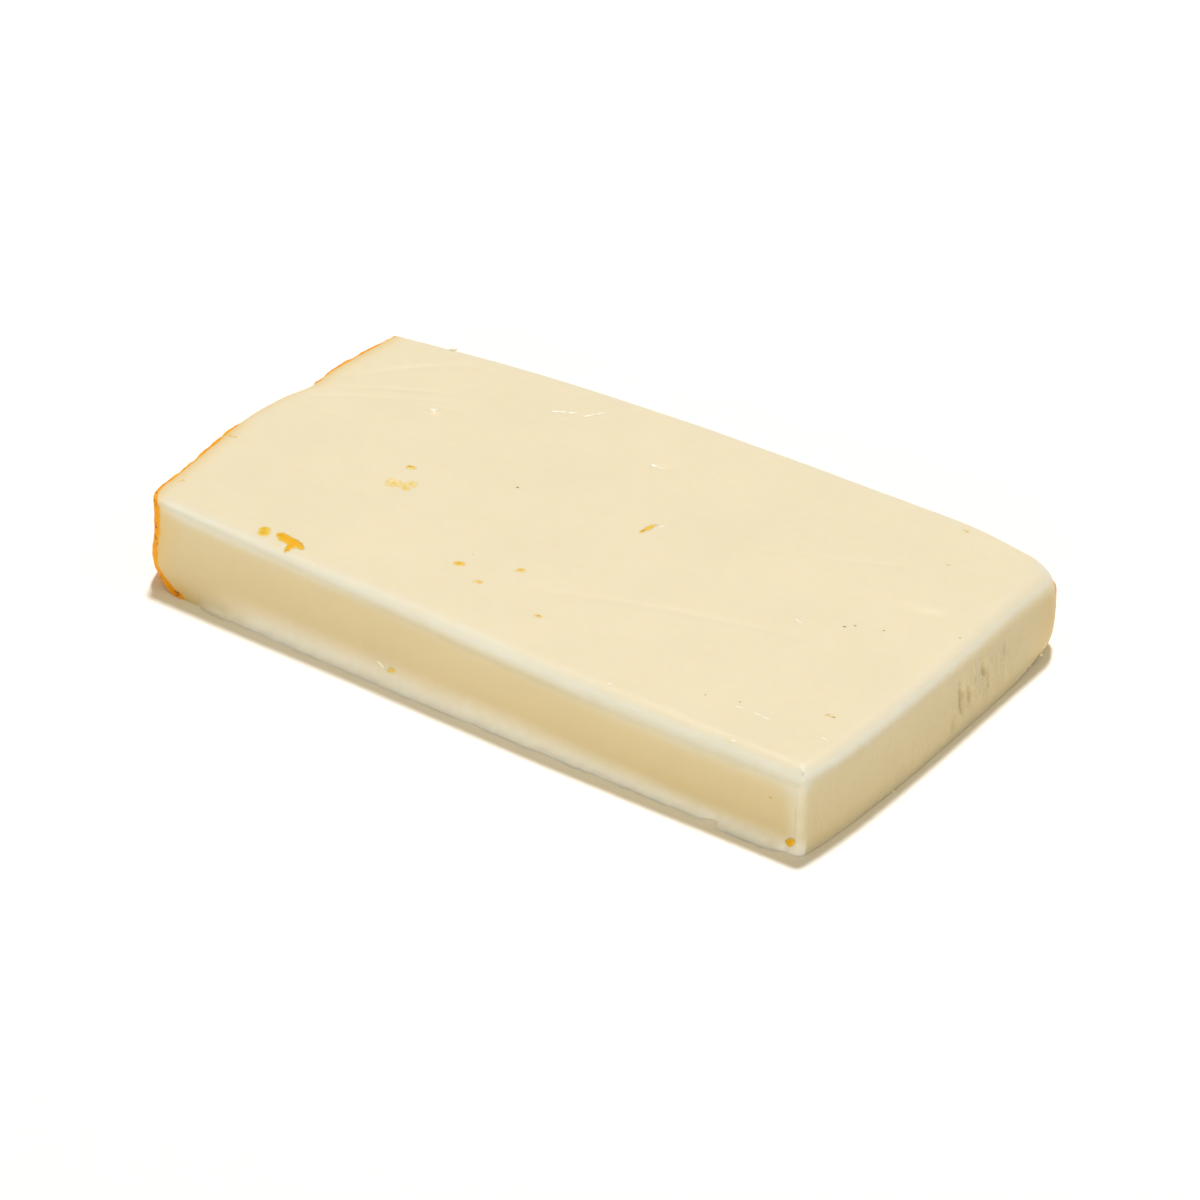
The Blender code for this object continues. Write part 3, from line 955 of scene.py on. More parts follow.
def relief(place, normal, block_place, settings):
    """How far the surface stands out at a place, in metres."""
    spot = place / MM
    ways = (normal.z, -normal.y, normal.y, normal.x)
    top, front, back, cut_end = (ramp(way, *FACING) for way in ways)
    skin = ramp(rind_depth(*block_place), *SKIN_DEPTHS)
    height = settings.undulation * swell(spot, size=17.0, seed=1.0)
    if top > 0.0:
        height += top * top_relief(spot) * MM
    if cut_end > 0.0:
        height += cut_end * cut_end_relief(spot) * MM
    if front > 0.0 or back > 0.0:
        height += (front + back) * side_relief(spot) * MM
    if front > 0.0 and spot.z < LIP_TOP:
        smear = hump(spot.z, 0.0, LIP_SPREAD) * ramp(block_place.x, *LIP_COMES_IN)
        height += front * smear * settings.lip_raggedness * lip_relief(spot)
    if skin > 0.0:
        height += skin * settings.rind_wrinkle * rind_relief(spot)
    turning = (1.0 - max(top, front, back, cut_end)) * ramp(abs(normal.z), *LEANING)
    wobble = swell(spot, size=6.0, seed=3.0) + 0.4 * swell(spot, size=1.8, seed=7.0)
    return height + turning * settings.rim_wobble * wobble


# ---- Building


def finish_piece(name, bm, material):
    """Makes a bmesh an object that stands for part of the slab and rides with it."""
    mesh = bpy.data.meshes.new(name)
    bm.to_mesh(mesh)
    bm.free()
    mesh.shade_smooth()
    mesh.set_sharp_from_angle(angle=SHARP_EDGE)
    mesh.materials.append(material)
    piece = bpy.data.objects.new(name, mesh)
    bpy.context.scene.collection.objects.link(piece)
    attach(piece, "root")
    return piece


def close_underside(bm):
    """Turns the flat of the underside into one face with a few rings round it."""
    flat = {f for f in bm.faces if all(v.co.z < 1e-6 for v in f.verts)}
    inner = [f for f in flat if all(g in flat for e in f.edges for g in e.link_faces)]
    bmesh.ops.dissolve_faces(bm, faces=inner, use_verts=True)


def place_body(bm):
    """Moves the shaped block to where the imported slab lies, a little forward of its middle."""
    low, high = (
        Vector([pick(vert.co[axis] for vert in bm.verts) for axis in range(3)])
        for pick in (min, max)
    )
    move = (SLAB_LOW + SLAB_HIGH) / 2.0 - (low + high) / 2.0
    move.y -= FORWARD_SHIFT
    move.z = SLAB_LOW.z - low.z
    bmesh.ops.translate(bm, verts=bm.verts, vec=move)


def body_mesh(settings):
    """The slab's own body, with what its materials need to know kept at its vertices."""
    bm = block(settings.cells)
    close_underside(bm)
    layers = {name: bm.verts.layers.float.new(name) for name in MASKS}
    block_places = [vert.co.copy() for vert in bm.verts]
    for vert, place in zip(bm.verts, block_places):
        for name, mask in MASKS.items():
            vert[layers[name]] = mask(*place)
        vert.co = shape(place)
    place_body(bm)
    bmesh.ops.recalc_face_normals(bm, faces=bm.faces)
    bm.normal_update()
    moves = []
    for vert, place in zip(bm.verts, block_places):
        above = ramp(vert.co.z, 0.0, RELIEF_FROM)
        sideways = Vector((vert.normal.x, vert.normal.y, vert.normal.z * above))
        moves.append(sideways * relief(vert.co, vert.normal, place, settings))
    for vert, move in zip(bm.verts, moves):
        vert.co += move
        vert.co.z = max(vert.co.z, SLAB_LOW.z)
    return bm


# ---- Marks laid on the body

# For each face of the slab: the directions of a mark's x and y on it, and the way into it.
FACES = {
    "top": (Vector((1.0, 0.0, 0.0)), Vector((0.0, 1.0, 0.0)), Vector((0.0, 0.0, -1.0))),
    "front": (Vector((1.0, 0.0, 0.0)), Vector((0.0, 0.0, 1.0)), Vector((0.0, 1.0, 0.0))),
    "back": (Vector((1.0, 0.0, 0.0)), Vector((0.0, 0.0, 1.0)), Vector((0.0, -1.0, 0.0))),
}
MARK_MARGIN = 0.35 * MM
MARK_SINK = 0.12 * MM
MARK_EDGE = 0.03 * MM
RAY_START = 0.3
FULL_CROWN = 0.3
OUTLINE_GRAIN = 0.45 * MM
LUMP_SIZE = 0.5 * MM
LUMP_SHARE = 0.45
CROWN_ROUNDING = 0.35

# A vertex on a mark's edge slides onto the outline, by less than a cell.
SLOPE_STEP = 0.25
LEAST_SLOPE = 0.25
LONGEST_SLIDE = 0.8

# A crumb's lumps, each as its fineness and its share, and how far apart crumbs' noise is drawn.
CRUMB_LUMPS = ((1.1, 1.0), (2.6, 0.5), (6.0, 0.25))
CRUMB_LUMP_STRENGTH = 1.6
CRUMB_NOISE_SPREAD = 700.0


def surface_of(*names):
    """The surfaces of pieces that are already built, for laying marks on."""
    graph = bpy.context.evaluated_depsgraph_get()
    return [BVHTree.FromObject(bpy.data.objects[name], graph) for name in names]


def drop(surfaces, place, inward):
    """Where a line going into the slab first meets it, and the way out of it there."""
    hits = [surface.ray_cast(place - inward * RAY_START, inward) for surface in surfaces]
    hits = [hit for hit in hits if hit[0] is not None]
    if not hits:
        raise RuntimeError(f"a mark at {tuple(place)} misses the slab")
    point, outward, _, _ = min(hits, key=lambda hit: hit[3])
    return point, outward


def inside_strokes(place, mark):
    """How far inside its strokes' outline a place on a mark lies; below zero is outside."""
    depths = []
    for first_x, first_y, first_radius, last_x, last_y, last_radius in mark.strokes:
        away = place - Vector((first_x, first_y)) * MM
        run = Vector((last_x - first_x, last_y - first_y)) * MM
        share = share_of(away.dot(run), run.length_squared)
        depths.append(mix(first_radius, last_radius, share) * MM - (away - run * share).length)
    return max(depths)


def inside_mark(place, mark, raggedness):
    """How far inside its ragged outline a place on a mark lies."""
    spot = Vector((*(place + Vector(mark.middle) * MM), 0.0)) / OUTLINE_GRAIN
    stray = noise.noise(spot) + 0.5 * noise.noise(spot * 2.3)
    return inside_strokes(place, mark) + raggedness * stray


def slide_to_outline(vert, mark, cell, raggedness):
    """Slides a vertex on a sheet's edge onto its mark's outline."""
    here = vert.co.to_2d()
    depth = inside_mark(here, mark, raggedness)
    step = SLOPE_STEP * cell
    slope = Vector([
        inside_mark(here + Vector(side) * step, mark, raggedness) - depth
        for side in ((1.0, 0.0), (0.0, 1.0))
    ]) / step
    shift = -depth * slope / max(slope.length_squared, LEAST_SLOPE)
    vert.co += (shift * min(1.0, LONGEST_SLIDE * cell / max(shift.length, 1e-9))).to_3d()


def mark_sheet(bm, mark, cell, raggedness):
    """A flat sheet of cells cut to a mark's outline, with its middle at the origin."""
    ends = [end for stroke in mark.strokes for end in (stroke[:3], stroke[3:])]
    low = Vector([min(end[axis] - end[2] for end in ends) for axis in (0, 1)]) * MM
    high = Vector([max(end[axis] + end[2] for end in ends) for axis in (0, 1)]) * MM
    size = high - low + 2.0 * Vector((MARK_MARGIN, MARK_MARGIN))
    place = Matrix.Translation(((low + high) / 2.0).to_3d())
    grid = bmesh.ops.create_grid(
        bm,
        x_segments=max(4, round(size.x / cell)),
        y_segments=max(4, round(size.y / cell)),
        size=0.5,
        matrix=place @ Matrix.Diagonal((size.x, size.y, 1.0, 1.0)),
    )
    verts = grid["verts"]
    depth = {vert: inside_mark(vert.co.to_2d(), mark, raggedness) for vert in verts}
    faces = {face for vert in verts for face in vert.link_faces}
    outside = [face for face in faces if sum(depth[vert] for vert in face.verts) < 0.0]
    bmesh.ops.delete(bm, geom=outside, context="FACES")
    kept = [vert for vert in verts if vert.is_valid]
    for vert in kept:
        if vert.is_boundary:
            slide_to_outline(vert, mark, cell, raggedness)
    return kept


def lay_mark(bm, surfaces, mark, cell, raggedness):
    """A thin closed flake in a mark's outline, pressed a little way into the slab."""
    core = bm.verts.layers.float["core"]
    x_way, y_way, inward = FACES[mark.face]
    lower = mark_sheet(bm, mark, cell, raggedness)
    sheet = {face for vert in lower for face in vert.link_faces}
    raised = bmesh.ops.extrude_face_region(bm, geom=list(sheet))["geom"]
    upper = {item for item in raised if isinstance(item, bmesh.types.BMVert)}
    middle = Vector(mark.middle) * MM
    rounding = CROWN_ROUNDING * max(stroke[2] for stroke in mark.strokes) * MM
    for vert in [*lower, *upper]:
        flat = vert.co.to_2d()
        depth = max(inside_mark(flat, mark, raggedness), 0.0)
        spread = flat + middle
        hit, outward = drop(surfaces, x_way * spread.x + y_way * spread.y, inward)
        lumps = 1.0 + LUMP_SHARE * noise.noise(vert.co / LUMP_SIZE)
        height = mark.crown * MM * (1.0 - math.exp(-depth / rounding)) * lumps - MARK_EDGE
        vert[core] = depth / MM * (mark.crown / FULL_CROWN) ** 2
        vert.co = hit + outward * (height if vert in upper else -MARK_SINK)


def marks_mesh(marks, surfaces, cell, raggedness):
    """Every mark of a kind, laid on the surfaces."""
    bm = bmesh.new()
    bm.verts.layers.float.new("core")
    for mark in marks:
        lay_mark(bm, surfaces, mark, cell, raggedness)
    bmesh.ops.recalc_face_normals(bm, faces=bm.faces)
    return bm


def add_crumb(bm, crumb, lumpiness):
    """A lumpy crumb of paste, no lower than the floor."""
    place = Vector(crumb.place) * MM
    turn = Matrix.Rotation(crumb.turn, 4, "Z")
    size = Matrix.Diagonal((*(Vector(crumb.size) * MM), 1.0))
    verts = bmesh.ops.create_icosphere(bm, subdivisions=4, radius=1.0)["verts"]
    for vert in verts:
        spot = vert.co + place * CRUMB_NOISE_SPREAD
        lump = sum(share * noise.noise(spot * fineness) for fineness, share in CRUMB_LUMPS)
        vert.co *= 1.0 + lumpiness * CRUMB_LUMP_STRENGTH * lump
    bmesh.ops.transform(bm, verts=verts, matrix=Matrix.Translation(place) @ turn @ size)
    for vert in verts:
        vert.co.z = max(vert.co.z, SLAB_LOW.z)


# ---- Materials

# A colour mix node's sockets, which have to be told by number.
MIX_FACTOR, MIX_FIRST, MIX_SECOND = 0, 6, 7
MIX_RESULT = 2

# Fields of noise: how fine each is, its detail and its roughness.
CLOUDS = (55.0, 2.0, 0.5)
SPOTS = (420.0, 3.0, 0.5)
GRAIN = (2600.0, 3.0, 0.5)
WOBBLE = (500.0, 4.0, 0.6)
WIDE_WOBBLE = (130.0, 3.0, 0.6)
TEARS = (600.0, 4.0, 0.65)
RIND_MOTTLE = (160.0, 4.0, 0.6)
RIND_SPECKS = (750.0, 4.0, 0.7)
FLECK_MOTTLE = (1300.0, 3.0, 0.6)
FLECK_SPOTS = (2100.0, 4.0, 0.7)
SPECK_MOTTLE = (3000.0, 2.0, 0.5)

# The spans of a value over which one look turns into another. The skin's and the stain's are
# depths under the rind in millimetres.
RIND_MOTTLE_SPAN = (0.38, 0.64)
RIND_SPECK_SPAN = (0.57, 0.67)
RIND_SKIN_SPAN = (1.6, 1.1)
RIND_STAIN_SPAN = (9.0, 4.0)
FLECK_RIM_SPAN = (0.0, 0.28)
FLECK_CORE_SPAN = (0.2, 0.75)
FLECK_SPOT_SPAN = (0.60, 0.70)
SPECK_CORE_SPAN = (0.0, 0.02)

# Bumps: how far each stands out and how strongly it counts.
GRAIN_BUMP = (0.04 * MM, 0.5)
TORN_BUMP = (1.0 * MM, 1.0)
FLECK_BUMP = (0.08 * MM, 0.6)
LOOSE_GRAIN_BUMP = (0.05 * MM, 0.5)

# The paste: how patchy its pale parts are and how pale at least, how its spots and grain count
# beside its clouds, how far its colour drifts, what is left of the rind's stain a
# millimetre deeper, how far the rind's edge strays, how unevenly the paste shines, and how far
# red, green and blue light go in it.
PALE_PATCHES = (0.5, 0.55)
LIP_PATCHES = (0.35, 0.65)
SPOT_SHARE = 0.6
GRAIN_SHARE = 0.4
PASTE_DRIFT = 0.06
LOOSE_DRIFT = 0.10
STAIN_LEFT = 0.68
RIND_STRAY = 1.3
TORN_SQUEEZE = (1.0, 1.0, 0.4)
ROUGHNESS_SPREAD = 0.16
GLOW_REACH = (1.0, 0.88, 0.7)
SHRED_ROUGHNESS = 0.2
CRUMB_ROUGHNESS = 0.5
SHEEN = 0.35
LEAST_SHEEN = 0.12
DRYING_DULLS = 0.8
SPOT_STRENGTH = 0.6
FLECK_STRAY = 0.7
SPECK_STRAY = 0.02


class Value:
    """A number in a node tree, which takes plain arithmetic."""

    def __init__(self, tree, socket):
        self.tree = tree
        self.socket = socket

    def __add__(self, other):
        return math_value(self.tree, "ADD", self, other)

    def __sub__(self, other):
        return math_value(self.tree, "SUBTRACT", self, other)

    def __rsub__(self, other):
        return math_value(self.tree, "SUBTRACT", other, self)

    def __mul__(self, other):
        return math_value(self.tree, "MULTIPLY", self, other)


def feed(tree, node, inputs):
    """Sets a node's inputs, or links those that are given as sockets."""
    for name, value in inputs.items():
        if isinstance(value, Value):
            value = value.socket
        if isinstance(value, bpy.types.NodeSocket):
            tree.links.new(value, node.inputs[name])
        else:
            node.inputs[name].default_value = value


def add_node(tree, kind, inputs=(), **settings):
    """A node of a kind, with its settings and inputs."""
    made = tree.nodes.new(kind)
    for name, value in settings.items():
        setattr(made, name, value)
    feed(tree, made, dict(inputs))
    return made


def math_value(tree, operation, first, second):
    """What comes of two values, either of which may be a plain number."""
    made = add_node(tree, "ShaderNodeMath", {0: first, 1: second}, operation=operation)
    return Value(tree, made.outputs["Value"])


def noise_field(tree, place, scale, detail, roughness):
    """A noise texture's value at a place."""
    inputs = {"Vector": place, "Scale": scale, "Detail": detail, "Roughness": roughness}
    return Value(tree, add_node(tree, "ShaderNodeTexNoise", inputs).outputs["Fac"])


def between(value, low, high):
    """A value's place between two others, from 0 to 1, with level ends."""
    inputs = {"Value": value, "From Min": low, "From Max": high}
    made = add_node(value.tree, "ShaderNodeMapRange", inputs, interpolation_type="SMOOTHSTEP")
    return Value(value.tree, made.outputs["Result"])


def blend_colours(tree, factor, first, second):
    """The first colour turning into the second as the factor grows."""
    inputs = {MIX_FACTOR: factor, MIX_FIRST: first, MIX_SECOND: second}
    return add_node(tree, "ShaderNodeMix", inputs, data_type="RGBA").outputs[MIX_RESULT]


def bump(tree, height, distance, strength, **normal):
    """The normal of a surface whose height varies."""
    inputs = {"Height": height, "Distance": distance, "Strength": strength, **normal}
    return add_node(tree, "ShaderNodeBump", inputs).outputs["Normal"]


def kept_value(tree, name):
    """A value kept at the vertices of the piece."""
    return Value(tree, add_node(tree, "ShaderNodeAttribute", attribute_name=name).outputs["Fac"])


def own_place(tree):
    """The piece's own coordinates."""
    return add_node(tree, "ShaderNodeTexCoord").outputs["Object"]


def new_material(name):
    """A material, with its node tree and its shader."""
    material = bpy.data.materials.new(name)
    material.use_nodes = True
    return material, material.node_tree, material.node_tree.nodes["Principled BSDF"]


def new_group(name, inputs, outputs):
    """An empty shader node group with named inputs and outputs."""
    group = bpy.data.node_groups.new(name, "ShaderNodeTree")
    for socket, kind, value in inputs:
        made = group.interface.new_socket(name=socket, in_out="INPUT", socket_type=kind)
        made.default_value = value
    for socket, kind in outputs:
        group.interface.new_socket(name=socket, in_out="OUTPUT", socket_type=kind)
    return group, group.nodes.new("NodeGroupInput"), group.nodes.new("NodeGroupOutput")


def new_grain_group():
    """Cloudy paste: a colour that drifts a little, and the height of its fine grain."""
    group, given, put = new_group(
        "Paste grain",
        (
            ("Colour", "NodeSocketColor", (0.8, 0.7, 0.5, 1.0)),
            ("Drift", "NodeSocketFloat", 0.05),
        ),
        (("Colour", "NodeSocketColor"), ("Height", "NodeSocketFloat")),
    )
    place = own_place(group)
    clouds = noise_field(group, place, *CLOUDS)
    spots = noise_field(group, place, *SPOTS)
    grain = noise_field(group, place, *GRAIN)
    drift = ((clouds - 0.5) + (spots - 0.5) * SPOT_SHARE) * given.outputs["Drift"]
    inputs = {0: given.outputs["Colour"], "Scale": drift + 1.0}
    tint = add_node(group, "ShaderNodeVectorMath", inputs, operation="SCALE")
    feed(group, put, {"Colour": tint.outputs["Vector"], "Height": grain * GRAIN_SHARE + spots})
    return group


def grain_node(tree, colour, drift):
    """The paste's grain over a colour."""
    group = bpy.data.node_groups.get("Paste grain") or new_grain_group()
    return add_node(tree, "ShaderNodeGroup", {"Colour": colour, "Drift": drift}, node_tree=group)


def patchy(tree, name, uneven, patches, least):
    """A share kept at the vertices, broken up into patches."""
    return between(kept_value(tree, name) * (uneven * patches + least), 0.0, 1.0)


def paste_colour(tree, paste, uneven):
    """The cut paste: deeper on the sides as painted shade, pale along the edges from drying and
    painted glow, and palest on the lip, partly painted light.
    """
    # Painted shade: the sides take a darker, deeper copy of the top's colour.
    colour = blend_colours(tree, kept_value(tree, "warm"), paste.top_colour, paste.shaded_side_colour)
    # The pale edges are partly dried paste and partly painted glow.
    dried = patchy(tree, "pale", uneven, *PALE_PATCHES)
    colour = blend_colours(tree, dried, colour, paste.pale_edge_and_glow_colour)
    # The lip's pale is partly a whitish smear and partly painted light.
    smeared = patchy(tree, "lip", uneven, *LIP_PATCHES)
    return blend_colours(tree, smeared, colour, paste.lip_smear_and_glow_colour)


def rind_skin_colour(tree, place, rind):
    """The rind's mottled skin, with dark specks and cracks in it."""
    broad = between(noise_field(tree, place, *RIND_MOTTLE), *RIND_MOTTLE_SPAN)
    mottled = blend_colours(tree, broad, rind.skin_colour, rind.pale_skin_colour)
    specks = between(noise_field(tree, place, *RIND_SPECKS), *RIND_SPECK_SPAN)
    return blend_colours(tree, specks, mottled, rind.dark_colour)


def torn_height(tree, place):
    """Noise drawn out upwards, where the cut end is torn."""
    inputs = {0: place, 1: TORN_SQUEEZE}
    squeezed = add_node(tree, "ShaderNodeVectorMath", inputs, operation="MULTIPLY")
    return noise_field(tree, squeezed.outputs["Vector"], *TEARS) * kept_value(tree, "torn")


def paste_material(paste, rind):
    """The body's paste, its pale edges and its rind, which stains the paste under it."""
    material, tree, shader = new_material("cut_paste_and_rind")
    place = own_place(tree)
    wobble = noise_field(tree, place, *WOBBLE)
    uneven = wobble + noise_field(tree, place, *WIDE_WOBBLE)
    grain = grain_node(tree, paste_colour(tree, paste, uneven), PASTE_DRIFT)
    depth = kept_value(tree, "rind_depth") + (uneven - 1.0) * RIND_STRAY
    under_skin = math_value(tree, "MAXIMUM", depth, 0.0)
    stain = math_value(tree, "POWER", STAIN_LEFT, under_skin) * between(depth, *RIND_STAIN_SPAN)
    stained = blend_colours(tree, stain, grain.outputs["Colour"], rind.under_colour)
    skin = between(depth, *RIND_SKIN_SPAN)
    bare = 1.0 - skin
    moist = 1.0 - kept_value(tree, "pale") * DRYING_DULLS
    fine = bump(tree, grain.outputs["Height"], *GRAIN_BUMP)
    feed(tree, shader, {
        "Base Color": blend_colours(tree, skin, stained, rind_skin_colour(tree, place, rind)),
        "Roughness": wobble * ROUGHNESS_SPREAD + (paste.roughness - 0.5 * ROUGHNESS_SPREAD),
        "Normal": bump(tree, torn_height(tree, place), *TORN_BUMP, Normal=fine),
        "Subsurface Weight": bare,
        "Subsurface Radius": GLOW_REACH,
        "Subsurface Scale": paste.depth_of_glow,
        "Specular IOR Level": bare * (moist * SHEEN) + LEAST_SHEEN,
    })
    return material


def fleck_material(marks):
    """Flecks of rind: yellow and thin at the rim, orange where they are thick."""
    material, tree, shader = new_material("rind_fleck")
    place = own_place(tree)
    mottle = noise_field(tree, place, *FLECK_MOTTLE)
    depth = kept_value(tree, "core") + (mottle - 0.5) * FLECK_STRAY
    rim = between(depth, *FLECK_RIM_SPAN)
    thick = between(depth, *FLECK_CORE_SPAN)
    spots = between(noise_field(tree, place, *FLECK_SPOTS), *FLECK_SPOT_SPAN)
    spots = spots * (thick * SPOT_STRENGTH)
    colour = blend_colours(tree, rim, marks.edge_colour, marks.rim_colour)
    colour = blend_colours(tree, thick, colour, marks.core_colour)
    feed(tree, shader, {
        "Base Color": blend_colours(tree, spots, colour, marks.scorch_colour),
        "Roughness": 0.5,
        "Normal": bump(tree, mottle, *FLECK_BUMP),
        "Specular IOR Level": 0.2,
    })
    return material


def speck_material(marks):
    """Dark specks, browner towards their rims."""
    material, tree, shader = new_material("dark_speck")
    mottle = noise_field(tree, own_place(tree), *SPECK_MOTTLE)
    depth = kept_value(tree, "core") + (mottle - 0.5) * SPECK_STRAY
    thick = between(depth, *SPECK_CORE_SPAN)
    colour = blend_colours(tree, thick, marks.speck_rim_colour, marks.speck_colour)
    feed(tree, shader, {"Base Color": colour, "Roughness": 0.6})
    return material


def loose_paste_material(name, colour, roughness):
    """Paste without rind, for shreds and crumbs; the shreds' bright colour is a painted highlight.
    """
    material, tree, shader = new_material(name)
    grain = grain_node(tree, colour, LOOSE_DRIFT)
    feed(tree, shader, {
        "Base Color": grain.outputs["Colour"],
        "Roughness": roughness,
        "Normal": bump(tree, grain.outputs["Height"], *LOOSE_GRAIN_BUMP),
    })
    return material


def floor_material(colour):
    """The pale floor, without any shine."""
    material, tree, shader = new_material("pale_floor")
    feed(tree, shader, {"Base Color": colour, "Roughness": 0.9, "Specular IOR Level": 0.0})
    return material


# ---- Stage

# Each lamp: the way to it, how far off it is and how broad.
Lamp = namedtuple("Lamp", "name way distance size")
KEY = Lamp("key", (-1.7, 4.1, 16.0), 4.0, 0.45)
FILL = Lamp("fill", (0.35, -0.9, 0.12), 2.0, 1.2)
FLOOR_RADIUS = 6.0
SEEN_SKY = 1.05
WHITE = (1.0, 1.0, 1.0, 1.0)
SENSOR_WIDTH = 36.0
VIEW_RANGE = (0.01, 50.0)


def lay_floor(stage):
    """The pale floor that the slab rests on."""
    bm = bmesh.new()
    bmesh.ops.create_circle(bm, cap_ends=True, segments=96, radius=FLOOR_RADIUS)
    mesh = bpy.data.meshes.new("studio_floor")
    bm.to_mesh(mesh)
    bm.free()
    mesh.materials.append(floor_material(stage.floor_colour))
    floor = bpy.data.objects.new("studio_floor", mesh)
    bpy.context.scene.collection.objects.link(floor)


def set_sky(stage):
    """Even warm light all round, which the camera sees as white."""
    world = bpy.data.worlds.new("even_white")
    world.use_nodes = True
    tree = world.node_tree
    seen = Value(tree, add_node(tree, "ShaderNodeLightPath").outputs["Is Camera Ray"])
    feed(tree, tree.nodes["Background"], {
        "Color": blend_colours(tree, seen, stage.sky_colour, WHITE),
        "Strength": seen * (SEEN_SKY - stage.sky) + stage.sky,
    })
    bpy.context.scene.world = world


def add_lamp(lamp, power, colour):
    """A round soft light that shines on the slab."""
    light = bpy.data.lights.new(lamp.name, "AREA")
    light.shape = "DISK"
    light.size = lamp.size
    light.energy = power
    light.color = colour
    made = bpy.data.objects.new(lamp.name, light)
    towards = Vector(lamp.way).normalized()
    made.location = towards * lamp.distance
    made.rotation_euler = towards.to_track_quat("Z", "Y").to_euler()
    bpy.context.scene.collection.objects.link(made)


def set_camera(stage):
    """The camera, which looks down on the slab's near corner."""
    eye = bpy.data.cameras.new("camera")
    eye.lens = stage.lens
    eye.sensor_width = SENSOR_WIDTH
    eye.clip_start, eye.clip_end = VIEW_RANGE
    camera = bpy.data.objects.new("camera", eye)
    level = math.cos(stage.elevation)
    back = Vector((
        math.sin(stage.azimuth) * level,
        -math.cos(stage.azimuth) * level,
        math.sin(stage.elevation),
    ))
    camera.location = Vector(stage.aim) + back * stage.distance
    camera.rotation_euler = back.to_track_quat("Z", "Y").to_euler()
    bpy.context.scene.collection.objects.link(camera)
    bpy.context.scene.camera = camera


# ---- Operators


class CHEESE_OT_stage(bpy.types.Operator):
    """Set up the pale floor, the light and the camera"""

    bl_idname = "cheese.stage"
    bl_label = "Set up the stage"

    def execute(self, context):
        stage = context.scene.cheese_stage
        lay_floor(stage)
        set_sky(stage)
        add_lamp(KEY, stage.key_power, stage.key_colour)
        add_lamp(FILL, stage.fill_power, stage.fill_colour)
        set_camera(stage)
        context.scene.view_settings.view_transform = "Standard"
        return {"FINISHED"}


class CHEESE_OT_body(bpy.types.Operator):
    """Build the slab's body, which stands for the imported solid"""

    bl_idname = "cheese.body"
    bl_label = "Build the body"

    def execute(self, context):
        scene = context.scene
        material = paste_material(scene.cheese_paste, scene.cheese_rind)
        body = finish_piece(BODY_NAME, body_mesh(scene.cheese_body), material)
        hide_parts(SLAB_NODE)
        return {"FINISHED"}


class CHEESE_OT_rind_flecks(bpy.types.Operator):
    """Lay the flecks of rind on the body"""

    bl_idname = "cheese.rind_flecks"
    bl_label = "Lay the rind flecks"

    def execute(self, context):
        marks = context.scene.cheese_marks
        bm = marks_mesh(RIND_FLECKS, surface_of(BODY_NAME), marks.fleck_cell, marks.raggedness)
        finish_piece(FLECKS_NAME, bm, fleck_material(marks))
        return {"FINISHED"}


class CHEESE_OT_dark_specks(bpy.types.Operator):
    """Lay the dark specks and slivers on the body and its flecks"""

    bl_idname = "cheese.dark_specks"
    bl_label = "Lay the dark specks"

    def execute(self, context):
        marks = context.scene.cheese_marks
        surfaces = surface_of(BODY_NAME, FLECKS_NAME)
        raggedness = SPECK_RAGGEDNESS * marks.raggedness
        bm = marks_mesh(DARK_SPECKS, surfaces, marks.fine_cell, raggedness)
        finish_piece("dark_specks", bm, speck_material(marks))
        return {"FINISHED"}


class CHEESE_OT_paste_shreds(bpy.types.Operator):
    """Lay the shreds of paste that the knife raised, coloured bright as a painted highlight"""

    bl_idname = "cheese.paste_shreds"
    bl_label = "Lay the paste shreds"

    def execute(self, context):
        marks = context.scene.cheese_marks
        raggedness = SHRED_RAGGEDNESS * marks.raggedness
        bm = marks_mesh(PASTE_SHREDS, surface_of(BODY_NAME), marks.fine_cell, raggedness)
        # The shreds' bright colour is a painted highlight.
        colour = context.scene.cheese_paste.shred_glint_colour
        material = loose_paste_material("paste_shred", colour, SHRED_ROUGHNESS)
        finish_piece("paste_shreds", bm, material)
        return {"FINISHED"}


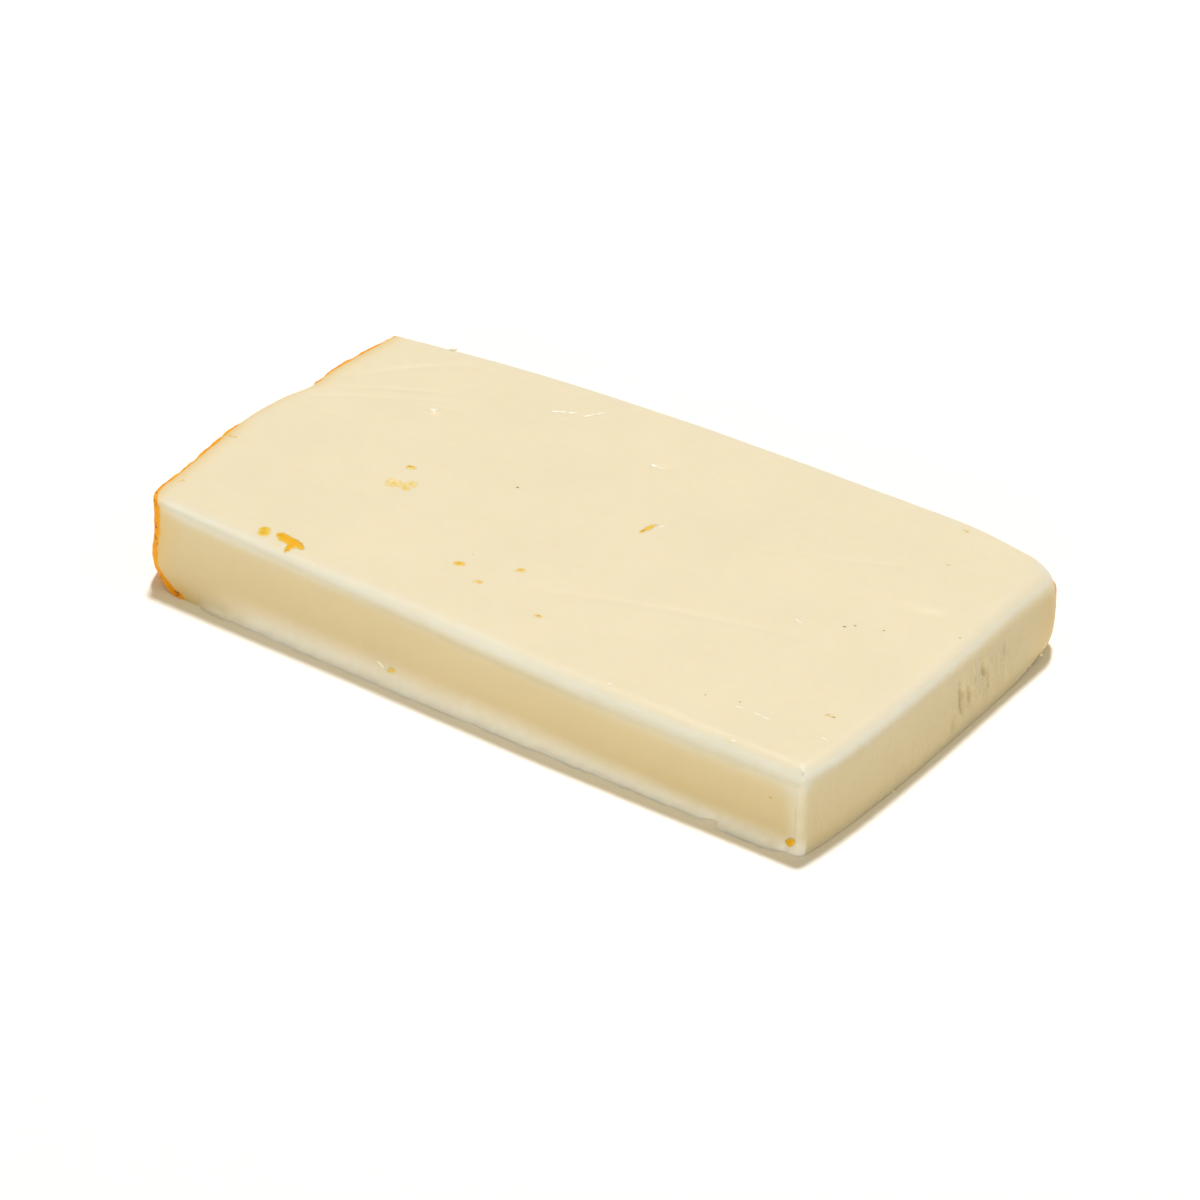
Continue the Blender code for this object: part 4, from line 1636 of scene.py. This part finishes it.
class CHEESE_OT_crumbs(bpy.types.Operator):
    """Add the crumbs and burrs of paste along the slab's foot and edges"""

    bl_idname = "cheese.crumbs"
    bl_label = "Add the crumbs"

    def execute(self, context):
        bm = bmesh.new()
        for crumb in CRUMBS:
            add_crumb(bm, crumb, context.scene.cheese_marks.crumb_roughness)
        colour = context.scene.cheese_paste.crumb_colour
        material = loose_paste_material("paste_crumb", colour, CRUMB_ROUGHNESS)
        finish_piece("crumbs", bm, material)
        return {"FINISHED"}


class CHEESE_PT_slab(bpy.types.Panel):
    """The slab's pieces and settings"""

    bl_label = "Cheese slab"
    bl_space_type = "VIEW_3D"
    bl_region_type = "UI"
    bl_category = "Cheese"

    def draw(self, context):
        layout = self.layout
        for operator in OPERATORS:
            layout.operator(operator.bl_idname)
        for name in SETTINGS:
            box = layout.box()
            group = getattr(context.scene, name)
            for prop in group.__annotations__:
                box.prop(group, prop)


OPERATORS = (
    CHEESE_OT_stage,
    CHEESE_OT_body,
    CHEESE_OT_rind_flecks,
    CHEESE_OT_dark_specks,
    CHEESE_OT_paste_shreds,
    CHEESE_OT_crumbs,
)
SETTINGS = {
    "cheese_body": BodySettings,
    "cheese_paste": PasteSettings,
    "cheese_rind": RindSettings,
    "cheese_marks": MarkSettings,
    "cheese_stage": StageSettings,
}


def register():
    for group in SETTINGS.values():
        bpy.utils.register_class(group)
    for name, group in SETTINGS.items():
        setattr(bpy.types.Scene, name, PointerProperty(type=group))
    for operator in OPERATORS:
        bpy.utils.register_class(operator)
    bpy.utils.register_class(CHEESE_PT_slab)


def unregister():
    bpy.utils.unregister_class(CHEESE_PT_slab)
    for operator in reversed(OPERATORS):
        bpy.utils.unregister_class(operator)
    for name, group in SETTINGS.items():
        delattr(bpy.types.Scene, name)
        bpy.utils.unregister_class(group)


def main():
    register()
    bpy.ops.cheese.stage()
    bpy.ops.cheese.body()
    bpy.ops.cheese.rind_flecks()
    bpy.ops.cheese.dark_specks()
    bpy.ops.cheese.paste_shreds()
    bpy.ops.cheese.crumbs()


if __name__ == "__main__":
    main()
